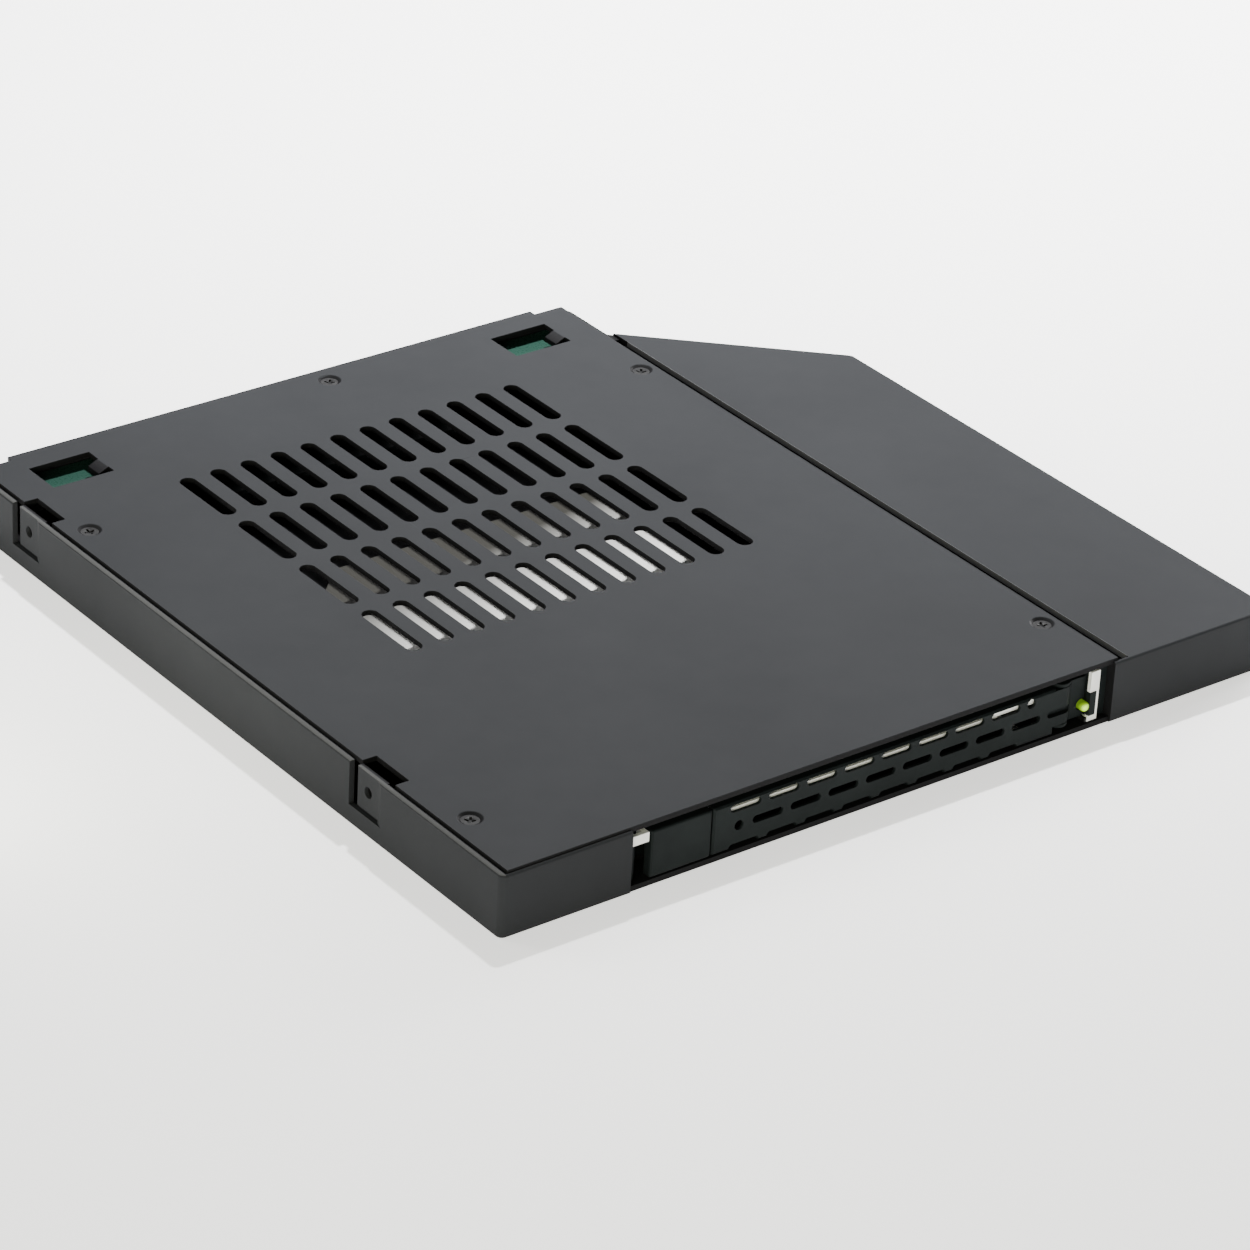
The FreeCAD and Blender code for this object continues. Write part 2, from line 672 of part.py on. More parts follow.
def keyed_slot(left, length):
    """An L-shaped plug slot of the drive socket."""
    rear = socket_front + SLOT_DEPTH
    flat = block(left, left + length, socket_front - PAST, rear, slot_bottom, slot_bottom + SLOT_HEIGHT)
    key_left = left + length - SLOT_HEIGHT
    key_top = slot_bottom + SLOT_HEIGHT + SLOT_KEY
    key = block(key_left, left + length, socket_front - PAST, rear, slot_bottom, key_top)
    return flat.fuse(key)


def drive_socket():
    """Socket that the drive plugs into, its foot under the board's front edge."""
    right = socket_left + SOCKET_WIDTH
    nose = block(socket_left, right, socket_front, board_front, socket_bottom, socket_top)
    nose = nose.makeChamfer(SOCKET_LEAD_IN, edges_at_front(nose, socket_front))
    foot = block(socket_left, right, board_front, board_front + SOCKET_FOOT, socket_bottom, board_bottom)
    slots = [keyed_slot(signal_left, SIGNAL_SLOT), keyed_slot(power_left, POWER_SLOT)]
    return nose.fuse(foot).removeSplitter().cut(slots)


def contact_row(left, length, count, y0, y1, z0):
    """A row of contact strips, centred on a slot or tongue."""
    first = left + (length - (count - 1) * CONTACT_PITCH - CONTACT_WIDTH) / 2
    strips = []
    for index in range(count):
        x = first + index * CONTACT_PITCH
        strips.append(block(x, x + CONTACT_WIDTH, y0, y1, z0, z0 + CONTACT_THICKNESS))
    return strips


def socket_contacts():
    """Contacts on the floors of the socket's two slots."""
    rear = socket_front + SLOT_DEPTH
    front = rear - CONTACT_LENGTH
    signal = contact_row(signal_left, SIGNAL_SLOT, SIGNAL_CONTACTS, front, rear, slot_bottom)
    power = contact_row(power_left, POWER_SLOT, POWER_CONTACTS, front, rear, slot_bottom)
    return Part.makeCompound(signal + power)


def host_connector():
    """Plug for the computer's bay, hung under the board and open at the back."""
    right = HOST_LEFT + HOST_WIDTH
    body = block(HOST_LEFT, right, host_front, host_rear, host_bottom, board_bottom)
    cavity_front = host_rear - HOST_CAVITY
    cavity = block(HOST_LEFT + HOST_WALL, right - HOST_WALL, cavity_front, host_rear + PAST,
                   host_bottom + HOST_WALL, board_bottom - HOST_WALL)
    tongue_rear = host_rear - HOST_WALL
    top = host_tongue_bottom + HOST_TONGUE
    signal = block(host_tongue_left, host_tongue_left + HOST_SIGNAL, host_front + HOST_WALL, tongue_rear,
                   host_tongue_bottom, top)
    power = block(host_power_left, host_power_left + HOST_POWER, host_front + HOST_WALL, tongue_rear,
                  host_tongue_bottom, top)
    return body.cut(cavity).fuse([signal, power]).removeSplitter()


def host_contacts():
    """Contacts on top of the host connector's two tongues."""
    top = host_tongue_bottom + HOST_TONGUE
    rear = host_rear - HOST_WALL - PIVOT_CLEARANCE
    front = host_rear - HOST_CAVITY
    signal = contact_row(host_tongue_left, HOST_SIGNAL, SIGNAL_CONTACTS, front, rear, top)
    power = contact_row(host_power_left, HOST_POWER, HOST_POWER_CONTACTS, front, rear, top)
    return Part.makeCompound(signal + power)


def status_led():
    """Lamp under the board's front edge, facing the light pipe."""
    front = board_front + LED_LENS_LENGTH
    half = LED_WIDTH / 2
    body = block(pipe_middle - half, pipe_middle + half, front, front + LED_DEPTH,
                 board_bottom - LED_HEIGHT, board_bottom)
    centre = Vector(pipe_middle, front - LED_LENS_LENGTH, board_bottom - LED_LENS_DROP)
    lens = Part.makeCylinder(LED_LENS_RADIUS, LED_LENS_LENGTH, centre, Y_AXIS)
    return body.fuse(lens)


def board_capacitors():
    """Small capacitors on top of the board."""
    y = (board_front + board_rear - CAPACITOR_WIDTH) / 2
    top = board_top + CAPACITOR_HEIGHT
    chips = []
    for index in range(CAPACITOR_COUNT):
        x = socket_left + index * CAPACITOR_SPACING
        chips.append(block(x, x + CAPACITOR_LENGTH, y, y + CAPACITOR_WIDTH, board_top, top))
    return Part.makeCompound(chips)


def tray_floor_sheet():
    """The tray's floor: a panel at the front left and two arms to the back."""
    panel_right = wall_right - PANEL_RIGHT
    panel_rear = drive_rear - PANEL_SHORT_OF_DRIVE
    left_arm = tray_left + LEFT_ARM_WIDTH
    right_arm = tray_right - RIGHT_ARM_WIDTH
    sheet = block(wall_left + BEND_RADIUS, tray_right, TRAY_FLOOR_FRONT, tray_rear, tray_bottom, tray_floor)
    corner = block(0, crossbar_left, 0, LATCH_BLOCK_FRONT, 0, tray_floor)
    air_left = crossbar_left + CROSSBAR_POST
    air = block(air_left, crossbar_right - CROSSBAR_POST, 0, AIR_CUT_REAR, 0, tray_floor)
    side = block(panel_right, right_arm, PANEL_SLOT_FRONT, depth, 0, tray_floor)
    rear = prism([
        (left_arm, panel_rear - PANEL_CHAMFER),
        (left_arm + PANEL_CHAMFER, panel_rear),
        (right_arm, panel_rear),
        (right_arm, depth),
        (left_arm, depth),
    ], 0, tray_floor)
    return sheet.cut([corner, air, side, rear])


def bent_wall():
    """The tray's left wall with the strip of floor that it is bent up from."""
    strip_right = tray_left + LEFT_ARM_WIDTH
    wall = block(tray_left, wall_left, TRAY_WALL_FRONT, tray_rear, tray_bottom, wall_top)
    strip = block(tray_left, strip_right, TRAY_WALL_FRONT, tray_rear, tray_bottom, tray_floor)
    angle = wall.fuse(strip).removeSplitter()
    outer = [e for e in edges_at_height(angle, tray_bottom) if e.BoundBox.XMax < wall_left]
    angle = angle.makeFillet(BEND_RADIUS + TRAY_SHEET, outer)
    inner = [e for e in edges_at_height(angle, tray_floor) if e.BoundBox.XMax < drive_left
             and e.BoundBox.YLength > LEFT_ARM_WIDTH]
    return angle.makeFillet(BEND_RADIUS, inner)


def crossbar():
    """The bright strip behind the handle's upper slots, folded back to two posts on the tray's floor."""
    top = wall_top - CROSSBAR_TOP
    bottom = top - CROSSBAR_HEIGHT
    end_top = top + CROSSBAR_END_RISE
    end_bottom = end_top - CROSSBAR_END_HEIGHT
    end_left = crossbar_right - CROSSBAR_END
    rear = crossbar_front + TRAY_SHEET
    post_rear = crossbar_post_front + TRAY_SHEET
    fold_left = crossbar_left + TRAY_SHEET
    fold_right = crossbar_right - TRAY_SHEET
    pieces = [
        block(crossbar_left, end_left, crossbar_front, rear, bottom, top),
        block(end_left - TRAY_SHEET, crossbar_right, crossbar_front, rear, end_bottom, end_top),
        block(crossbar_left, fold_left, crossbar_front, post_rear, bottom, top),
        block(fold_right, crossbar_right, crossbar_front, post_rear, end_bottom, end_top),
        block(fold_right, crossbar_post_right, crossbar_post_front, post_rear, end_bottom, end_top),
    ]
    foot_rear = TRAY_FLOOR_FRONT + TRAY_SHEET
    for left, post_top in ((crossbar_left, top), (crossbar_post_right - CROSSBAR_POST, end_top)):
        right = left + CROSSBAR_POST
        pieces.append(block(left, right, crossbar_post_front, post_rear, tray_bottom, post_top))
        pieces.append(block(left, right, crossbar_post_front, foot_rear, tray_bottom, tray_floor))
    return pieces


def stop_tab():
    """The bright tab at the left end of the mouth and the arm that it is bent from."""
    front = FRONT_RECESS + RUN_CLEARANCE
    rear = TRAY_WALL_FRONT + TRAY_SHEET
    top = wall_top - STOP_TAB_DROP
    bottom = top - STOP_TAB_HEIGHT
    arm = block(tray_left, wall_left, front, rear, bottom, top)
    tab = block(mouth_left + STOP_TAB_GAP, wall_left, front, front + TRAY_SHEET, bottom, top)
    return [arm, tab]


def lamp_flange():
    """The bright flange at the right end of the mouth, notched around the lamp's lens."""
    front = FRONT_RECESS + RUN_CLEARANCE
    rear = front + TRAY_SHEET
    left = pipe_left + FLANGE_LEFT
    flange = block(left, tray_right + FLANGE_RIGHT, front, rear, tray_bottom, cover_bottom - FLANGE_TOP_GAP)
    reach = LENS_NOSE_RADIUS + FLANGE_NOTCH_GAP
    notch = slot_across(wall_right, lens_across + reach, 0, rear + PAST, lens_middle, 2 * reach)
    foot_left = tray_right - TRAY_SHEET
    foot = block(foot_left, tray_right, front, TRAY_FLOOR_FRONT + TRAY_SHEET, tray_bottom, tray_floor)
    toe = block(foot_left, left + TRAY_SHEET, front, rear, tray_bottom, tray_floor)
    return [flange.cut(notch), foot, toe]


def tray_pan():
    """Bright steel tray: floor, two walls, a crossbar, a stop tab and the flange by the light."""
    pieces = [tray_floor_sheet()]
    pieces.append(bent_wall())
    pieces.append(block(wall_right, wall_right + TRAY_SHEET, FRONT_ZONE, tray_rear, tray_bottom, wall_top))
    pieces += stop_tab()
    pieces += crossbar()
    pieces += lamp_flange()
    pan = pieces[0].fuse(pieces[1:]).removeSplitter()
    cuts = [upright(x, y, 0, cover_bottom, PEG_RADIUS) for x, y in block_pegs()]
    for y in drive_holes:
        centre = Vector(tray_left - PAST, y, drive_hole_height)
        cuts.append(Part.makeCylinder(PIN_SHANK_RADIUS, tray_right - tray_left, centre, X_AXIS))
    return pan.cut(cuts)


def block_pegs():
    """Where the latch block's and hinge block's pegs go through the tray's floor."""
    latch_y = (LATCH_BLOCK_FRONT + block_rear) / 2
    hinge_y = (pivot_back + PIVOT_DEPTH + block_rear) / 2
    latch_left = wall_left + RUN_CLEARANCE
    inset = 2 * PEG_RADIUS
    return [
        (latch_left + inset, latch_y),
        (latch_left + LATCH_BLOCK_WIDTH - inset, latch_y),
        (pivot_across, hinge_y),
    ]


def drive_pin(wall, inward, y):
    """One pin, riveted flush in a tray wall and reaching towards the drive."""
    axis = X_AXIS * inward
    start = Vector(wall, y, drive_hole_height)
    shank = Part.makeCylinder(PIN_SHANK_RADIUS, TRAY_SHEET, start, axis)
    seat = start + axis * TRAY_SHEET
    length = PIN_REACH - PIN_BEVEL
    straight = Part.makeCylinder(PIN_RADIUS, length, seat, axis)
    tip = Part.makeCone(PIN_RADIUS, PIN_RADIUS - PIN_BEVEL, PIN_BEVEL, seat + axis * length, axis)
    return shank.fuse([straight, tip])


def drive_pins():
    """Four pins that enter the drive's side holes."""
    pins = [drive_pin(tray_left, 1, y) for y in drive_holes]
    pins += [drive_pin(wall_right + TRAY_SHEET, -1, y) for y in drive_holes]
    return Part.makeCompound(pins)


def latch_block():
    """Moulded guide behind the button."""
    left = wall_left + RUN_CLEARANCE
    body = block(left, left + LATCH_BLOCK_WIDTH, LATCH_BLOCK_FRONT, block_rear, tray_floor, block_top)
    body = body.makeChamfer(BLOCK_CHAMFER, edges_at_height(body, block_top))
    centre = Vector(button_middle, 0, face_middle)
    bore = Part.makeCylinder(BUTTON_STEM_RADIUS + STEM_CLEARANCE, FRONT_ZONE, centre, Y_AXIS)
    pegs = [upright(x, y, tray_bottom, tray_floor, PEG_RADIUS) for x, y in block_pegs()[:2]]
    return body.cut(bore).fuse(pegs).removeSplitter()


def lens_holder(fork_right):
    """The hinge block's arm around the light pipe's nose."""
    top = tray_floor + HOLDER_HEIGHT
    left = fork_right + KNUCKLE_GAP
    right = tray_right - HOLDER_RIGHT_GAP
    body = block(left, right, HOLDER_FRONT, HOLDER_REAR, tray_floor, top)
    bridge = block(fork_right - KNUCKLE_GAP, left, HOLDER_REAR - HOLDER_BRIDGE, HOLDER_REAR, tray_floor, top)
    centre = Vector(lens_across, 0, lens_middle)
    bore = Part.makeCylinder(LENS_NOSE_RADIUS + FLANGE_NOTCH_GAP / 2, FRONT_ZONE, centre, Y_AXIS)
    return body.fuse(bridge).removeSplitter().cut(bore)


def hinge_block():
    """Moulded fork that carries the handle's pin, with the lens holder on its right."""
    left = pivot_across - PIVOT_DEPTH
    right = pivot_across + PIVOT_DEPTH
    body_front = pivot_back + PIVOT_DEPTH + KNUCKLE_GAP
    body = block(left, right, body_front, block_rear, tray_floor, wall_top)
    ears = []
    for low, high in ((tray_floor, ear_low), (ear_high, wall_top)):
        ears.append(upright(pivot_across, pivot_back, low, high, PIVOT_DEPTH))
        ears.append(block(left, right, pivot_back, body_front, low, high))
    x, y = block_pegs()[2]
    peg = upright(x, y, tray_bottom, tray_floor, PEG_RADIUS)
    fork = body.fuse(ears + [peg, lens_holder(right)]).removeSplitter()
    return fork.cut(upright(pivot_across, pivot_back, 0, cover_top, PIVOT_RADIUS + SEAT_CLEARANCE))


def handle_pin():
    """Steel pin of the handle's hinge."""
    return upright(pivot_across, pivot_back, tray_floor, wall_top, PIVOT_RADIUS)


def handle_grille():
    """Cuts of the handle's staggered slots and dots, the blind slot by the hinge and the hollow back."""
    front = -PAST
    cuts = []
    half = GRILLE_HEIGHT / 2
    upper = grille_middle + GRILLE_UPPER_PITCH
    lower = grille_middle - GRILLE_LOWER_PITCH
    for index in range(grille_count):
        x = grille_left + index * GRILLE_PITCH
        cuts.append(slot_across(x, x + GRILLE_SLOT, front, handle_back + PAST, upper, GRILLE_HEIGHT))
        cuts.append(slot_across(x, x + GRILLE_SLOT, front, handle_back + PAST, lower, GRILLE_HEIGHT))
        shifted = x + GRILLE_OFFSET
        if shifted + GRILLE_SLOT < knuckle_left:
            cuts.append(slot_across(shifted, shifted + GRILLE_SLOT, front, handle_back + PAST,
                                    grille_middle, GRILLE_HEIGHT))
    dot_left = Vector(grille_left + GRILLE_DOT_INSET, front, grille_middle)
    dot_right = Vector(grille_left + grille_count * GRILLE_PITCH + GRILLE_DOT_RADIUS, front, upper)
    for centre in (dot_left, dot_right):
        cuts.append(Part.makeCylinder(GRILLE_DOT_RADIUS, handle_back + 2 * PAST, centre, Y_AXIS))
    pocket_left = grille_left + grille_count * GRILLE_PITCH + GRILLE_OFFSET
    cuts.append(slot_across(pocket_left, pocket_left + POCKET_LENGTH, front, FRONT_RECESS + POCKET_DEPTH,
                            grille_middle, GRILLE_HEIGHT))
    hollow_bottom = lower + half + HANDLE_RIM
    hollow_top = face_top - HANDLE_RIM
    cuts.append(block(handle_left + HANDLE_END_RIM, handle_pocket_right, FRONT_RECESS + GRILLE_WEB,
                      handle_back + PAST, hollow_bottom, hollow_top))
    return cuts


def handle():
    """Perforated handle with a hook at its free end and a knuckle at its hinge."""
    face = block(handle_left, knuckle_left, FRONT_RECESS, handle_back, face_bottom, face_top)
    face = face.makeChamfer(HANDLE_EDGE, edges_at_front(face, FRONT_RECESS))
    low = ear_low + EAR_GAP
    high = ear_high - EAR_GAP
    neck = block(knuckle_left - HANDLE_EDGE * 2, pivot_across, FRONT_RECESS, handle_back, low, high)
    knuckle = upright(pivot_across, pivot_back, low, high, PIVOT_DEPTH)
    hook_left = handle_left + HOOK_INSET
    hook_low = face_middle - HOOK_HEIGHT / 2
    hook_high = face_middle + HOOK_HEIGHT / 2
    hook_rear = handle_back + HOOK_REACH
    hook = block(hook_left, hook_left + HOOK_WIDTH, handle_back - HANDLE_EDGE, hook_rear, hook_low, hook_high)
    lip = block(hook_left - HOOK_LIP, hook_left, hook_rear - HOOK_LIP * 2, hook_rear, hook_low, hook_high)
    bar = face.fuse([neck, knuckle, hook, lip]).removeSplitter()
    bore = upright(pivot_across, pivot_back, 0, cover_top, PIVOT_RADIUS + PIVOT_CLEARANCE)
    return bar.cut(handle_grille() + [bore])


def release_button():
    """Push button with a round stem in the latch block."""
    plate = block(button_left, button_right, FRONT_RECESS, button_back, face_bottom, face_top)
    plate = plate.makeFillet(BUTTON_EDGE, edges_at_front(plate, FRONT_RECESS))
    centre = Vector(button_middle, button_back, face_middle)
    return plate.fuse(Part.makeCylinder(BUTTON_STEM_RADIUS, BUTTON_STEM_LENGTH, centre, Y_AXIS))


def release_spring():
    """Folded leaf between the latch block and the button."""
    left = button_middle + BUTTON_STEM_RADIUS + SPRING_WIDTH * STEM_CLEARANCE
    right = left + SPRING_SPAN
    rear = LATCH_BLOCK_FRONT
    front = button_back + SPRING_GAP
    leaf = prism([
        (left, rear),
        (right, rear),
        (right, rear - SPRING_THICKNESS),
        (left + SPRING_THICKNESS, front),
        (left, front),
        (right - 2 * SPRING_THICKNESS, rear - SPRING_THICKNESS),
        (left, rear - SPRING_THICKNESS),
    ], 0, SPRING_WIDTH)
    return leaf.translated(Vector(0, 0, face_middle - SPRING_WIDTH / 2))


def light_pipe():
    """Clear bar from the lamp on the board to the lens at the tray's front."""
    bar = block(pipe_left, tray_right, FRONT_RECESS + LENS_NOSE_LENGTH, pipe_rear, lens_bottom, lens_top)
    centre = Vector(lens_across, FRONT_RECESS, lens_middle)
    nose = Part.makeCylinder(LENS_NOSE_RADIUS, LENS_NOSE_LENGTH, centre, Y_AXIS)
    nose = nose.makeFillet(LENS_EDGE, edges_at_front(nose, FRONT_RECESS))
    bar = bar.fuse(nose)
    spacing = (tray_rear - FRONT_ZONE - PIPE_FOOT_LENGTH) / (PIPE_FEET - 1)
    feet = []
    for index in range(PIPE_FEET):
        y = FRONT_ZONE + index * spacing
        feet.append(block(pipe_left, tray_right, y, y + PIPE_FOOT_LENGTH, tray_floor, lens_bottom))
    return bar.fuse(feet).removeSplitter()


PIECES = [
    lower_housing,
    top_cover,
    cover_screws,
    cover_standoffs,
    left_guide_rail,
    right_guide_rail,
    backplane_board,
    board_standoffs,
    board_screws,
    drive_socket,
    socket_contacts,
    host_connector,
    host_contacts,
    status_led,
    board_capacitors,
    tray_pan,
    drive_pins,
    latch_block,
    hinge_block,
    handle_pin,
    handle,
    release_button,
    release_spring,
    light_pipe,
]

os.makedirs("parts", exist_ok=True)
to_origin = Vector(-wing_right / 2, -depth / 2, 0)
for piece in PIECES:
    shape = piece().translated(to_origin)
    shape.exportStep("parts/" + piece.__name__ + ".step")
    print(piece.__name__, len(shape.Solids), shape.isValid(), round(shape.Volume, 2))
print("size", round(wing_right, 3), round(depth, 3), round(cover_top, 3))
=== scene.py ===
# %% [markdown]
# # An optical-bay drive caddy
# The caddy is a flat painted steel box that takes the place of a laptop's disc drive.
# Its solids come from a CAD model, packed as a frame of named nodes that ride on four bodies:
# the housing, the tray, the swing handle and the push button.
# This lesson gives every node its finish, rounds the edges that catch the light,
# adds the small repeated pieces with Geometry Nodes, and sets up the light and the camera.

import json
import math

import bmesh
import bpy
from mathutils import Matrix, Vector

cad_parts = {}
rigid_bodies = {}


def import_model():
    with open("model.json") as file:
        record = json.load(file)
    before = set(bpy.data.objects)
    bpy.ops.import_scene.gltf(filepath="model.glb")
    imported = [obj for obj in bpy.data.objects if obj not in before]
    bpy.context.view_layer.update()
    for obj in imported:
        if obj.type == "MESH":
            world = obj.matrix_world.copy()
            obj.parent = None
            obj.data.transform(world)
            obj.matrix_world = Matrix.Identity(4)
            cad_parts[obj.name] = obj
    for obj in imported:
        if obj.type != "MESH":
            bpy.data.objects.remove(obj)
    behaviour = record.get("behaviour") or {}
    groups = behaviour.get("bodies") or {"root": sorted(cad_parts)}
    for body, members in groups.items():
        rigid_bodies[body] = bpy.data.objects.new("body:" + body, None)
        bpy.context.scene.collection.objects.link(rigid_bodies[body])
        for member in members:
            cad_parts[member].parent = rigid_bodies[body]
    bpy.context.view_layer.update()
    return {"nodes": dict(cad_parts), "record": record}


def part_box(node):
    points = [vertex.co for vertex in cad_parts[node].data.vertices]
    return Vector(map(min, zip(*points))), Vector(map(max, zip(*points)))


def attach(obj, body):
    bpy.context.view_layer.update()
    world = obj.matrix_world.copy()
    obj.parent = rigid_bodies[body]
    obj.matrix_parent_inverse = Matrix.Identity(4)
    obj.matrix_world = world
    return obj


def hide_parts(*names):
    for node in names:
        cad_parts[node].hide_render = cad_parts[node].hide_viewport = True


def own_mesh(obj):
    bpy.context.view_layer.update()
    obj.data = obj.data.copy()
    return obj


for old in list(bpy.data.objects):
    bpy.data.objects.remove(old)
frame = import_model()
nodes = frame["nodes"]
MM = 0.001

# %% [markdown]
# ## Building materials from nodes
# Each finish is a small shader tree. All of them read Object coordinates, which are metres in the
# frame here, so a grain of a tenth of a millimetre is really that size on the part.
# One helper adds a node and sets its inputs by name. Each of the others adds one ingredient, such as a
# noise, a ramp, a bump or a mask, so that a finish below reads as a short recipe.


# %% Helpers for shader trees
def new_material(name):
    """An empty material with its Principled shader and Object coordinates."""
    material = bpy.data.materials.new(name)
    material.use_nodes = True
    tree = material.node_tree
    shader = tree.nodes["Principled BSDF"]
    place = tree.nodes.new("ShaderNodeTexCoord")
    return material, tree, shader, place.outputs["Object"]


def add_node(tree, kind, settings=None, **inputs):
    """Adds one shader node; settings are its properties and inputs its socket values."""
    node = tree.nodes.new(kind)
    for key, value in (settings or {}).items():
        setattr(node, key, value)
    for key, value in inputs.items():
        node.inputs[key.replace("_", " ")].default_value = value
    return node


def noise(tree, place, size, detail=3.0, rough=0.55):
    """Noise whose blotches are about size metres across."""
    node = add_node(tree, "ShaderNodeTexNoise", Scale=1.0 / size, Detail=detail, Roughness=rough)
    tree.links.new(place, node.inputs["Vector"])
    return node.outputs["Fac"]


def ramp(tree, fac, stops):
    """A colour ramp over a list of (position, colour) stops."""
    node = tree.nodes.new("ShaderNodeValToRGB")
    elements = node.color_ramp.elements
    while len(elements) < len(stops):
        elements.new(0.5)
    for element, (position, colour) in zip(elements, stops):
        element.position = position
        element.color = (*colour, 1.0)
    tree.links.new(fac, node.inputs["Fac"])
    return node.outputs["Color"]


def spread(tree, fac, low, high):
    """Maps a 0 to 1 texture onto a range of values."""
    node = add_node(tree, "ShaderNodeMapRange", To_Min=low, To_Max=high)
    tree.links.new(fac, node.inputs["Value"])
    return node.outputs["Result"]


def bump(tree, shader, height, depth, strength):
    """Bump of a depth in metres on the shader's normal."""
    node = add_node(tree, "ShaderNodeBump", Strength=strength, Distance=depth)
    tree.links.new(height, node.inputs["Height"])
    tree.links.new(node.outputs["Normal"], shader.inputs["Normal"])


print("shader helpers ready")


# %% Helpers that mask and mix
def math_node(tree, operation, first, second):
    """Joins two values by one operation."""
    node = tree.nodes.new("ShaderNodeMath")
    node.operation = operation
    tree.links.new(first, node.inputs[0])
    tree.links.new(second, node.inputs[1])
    return node.outputs[0]


def within(tree, place, low, high):
    """One inside a box between two corners, and zero outside it."""
    split = tree.nodes.new("ShaderNodeSeparateXYZ")
    tree.links.new(place, split.inputs["Vector"])
    result = None
    for axis, start, end in zip("XYZ", low, high):
        near = tree.nodes.new("ShaderNodeMath")
        near.operation = "COMPARE"
        near.inputs[1].default_value = (start + end) / 2
        near.inputs[2].default_value = (end - start) / 2
        tree.links.new(split.outputs[axis], near.inputs[0])
        inside = near.outputs[0]
        result = inside if result is None else math_node(tree, "MULTIPLY", result, inside)
    return result


def mix(tree, fac, first, second):
    """Mixes two colours; each is a socket or a plain colour."""
    # The Mix node has a socket of each name for every data type, so its colours go by number
    node = add_node(tree, "ShaderNodeMix", {"data_type": "RGBA"})
    tree.links.new(fac, node.inputs["Factor"])
    for socket, colour in ((node.inputs[6], first), (node.inputs[7], second)):
        if isinstance(colour, tuple):
            socket.default_value = (*colour, 1.0)
        else:
            tree.links.new(colour, socket)
    return node.outputs[2]


print("mask helpers ready")

# %% [markdown]
# ## The dark paint of the housing and the cover
# The shell is steel sheet with a satin, very dark grey coat. Close up it has a fine orange-peel
# grain and slightly uneven gloss. A flat colour would look like plastic, so three noises do the work:
# a wide one shifts the tone, a middle one the gloss, and a fine one is the grain's bump.
# Inside the shell, on the vents' walls and on the mouth's punched edges, the colour is near-black painted
# shade.
# Boxes in Object coordinates tell the inside from the outside, worked out from the nodes' corners.
# Two more boxes are painted light: the groove beside the wing is painted paler below its rim, and a line
# along the left wall's top is a painted highlight.

# %% Where the paint changes
SHEET = 0.8 * MM
SEAM = 0.05 * MM
CUT_EDGE_DEPTH = 0.06 * MM
GROOVE = 1.85 * MM
GROOVE_REAR = 14 * MM
GROOVE_RIM = 0.35 * MM
HIGHLIGHT_BAND = 0.1 * MM
cover_low, cover_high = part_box("top_cover")
housing_low, housing_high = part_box("lower_housing")
rail_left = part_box("left_guide_rail")[0].x
rail_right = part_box("right_guide_rail")[1].x
inside_low = (housing_low.x + SHEET + SEAM, cover_low.y - SEAM, housing_low.z + SHEET - SEAM)
inside_high = (cover_high.x + GROOVE, housing_high.y - SHEET - SEAM, cover_high.z - CUT_EDGE_DEPTH)
mouth_low = (rail_left, housing_low.y - SEAM, housing_low.z - SEAM)
mouth_high = (rail_right, cover_low.y + SEAM, cover_high.z - 2 * SEAM)
groove_low = (cover_high.x - SEAM, housing_low.y + SHEET, housing_low.z + SHEET)
groove_high = (cover_high.x + GROOVE, housing_high.y - GROOVE_REAR, cover_high.z - GROOVE_RIM)
# The box of the painted highlight along the left wall's top edge
highlight_low = (housing_low.x + HIGHLIGHT_BAND, housing_low.y, housing_high.z - HIGHLIGHT_BAND)
highlight_high = (housing_low.x + SHEET - HIGHLIGHT_BAND, housing_high.y, housing_high.z + SEAM)
print("mouth from", round(rail_left / MM, 2), "to", round(rail_right / MM, 2), "mm")

# %% Dark paint
PAINT_TONES = ((0.3, (0.0226, 0.0236, 0.026)), (0.7, (0.0259, 0.0271, 0.0297)))
# Painted shade: near black inside the shell, on the vents' walls and on the mouth's edges
INSIDE_SHADE_TONE = (0.011, 0.011, 0.012)
# Painted light: the groove beside the wing is paler below its rim than the coat
GROOVE_LIGHT_TONE = (0.1, 0.101, 0.104)
# Painted highlight along the left wall's top edge
EDGE_HIGHLIGHT_TONE = (0.066, 0.067, 0.067)
PAINT_BLOTCH = 26 * MM
PAINT_GLOSS = (0.48, 0.58)
PAINT_GLOSS_PATCH = 4 * MM
PAINT_GRAIN = 0.22 * MM
PAINT_GRAIN_DEPTH = 0.012 * MM
PAINT_GRAIN_STRENGTH = 0.5
PAINT_SHINE = 0.03


def dark_paint():
    """Satin dark grey coat with a fine grain; painted shade inside and at the mouth, painted light in the
    groove, a painted highlight on the wall's top.
    """
    material, tree, shader, place = new_material("dark_paint")
    # Painted shade inside the shell, on the vents' walls and on the mouth's edges
    painted_shade = math_node(tree, "MAXIMUM", within(tree, place, inside_low, inside_high),
                     within(tree, place, mouth_low, mouth_high))
    tone = ramp(tree, noise(tree, place, PAINT_BLOTCH), PAINT_TONES)
    # Painted highlight along the left wall's top edge
    tone = mix(tree, within(tree, place, highlight_low, highlight_high), tone, EDGE_HIGHLIGHT_TONE)
    tone = mix(tree, painted_shade, tone, INSIDE_SHADE_TONE)
    # Painted light in the groove beside the wing
    tone = mix(tree, within(tree, place, groove_low, groove_high), tone, GROOVE_LIGHT_TONE)
    tree.links.new(tone, shader.inputs["Base Color"])
    gloss = spread(tree, noise(tree, place, PAINT_GLOSS_PATCH), *PAINT_GLOSS)
    tree.links.new(gloss, shader.inputs["Roughness"])
    shader.inputs["Specular IOR Level"].default_value = PAINT_SHINE
    grain = noise(tree, place, PAINT_GRAIN, detail=2.0)
    bump(tree, shader, grain, PAINT_GRAIN_DEPTH, PAINT_GRAIN_STRENGTH)
    return material


finishes = {"dark_paint": dark_paint()}
print("made", sorted(finishes))
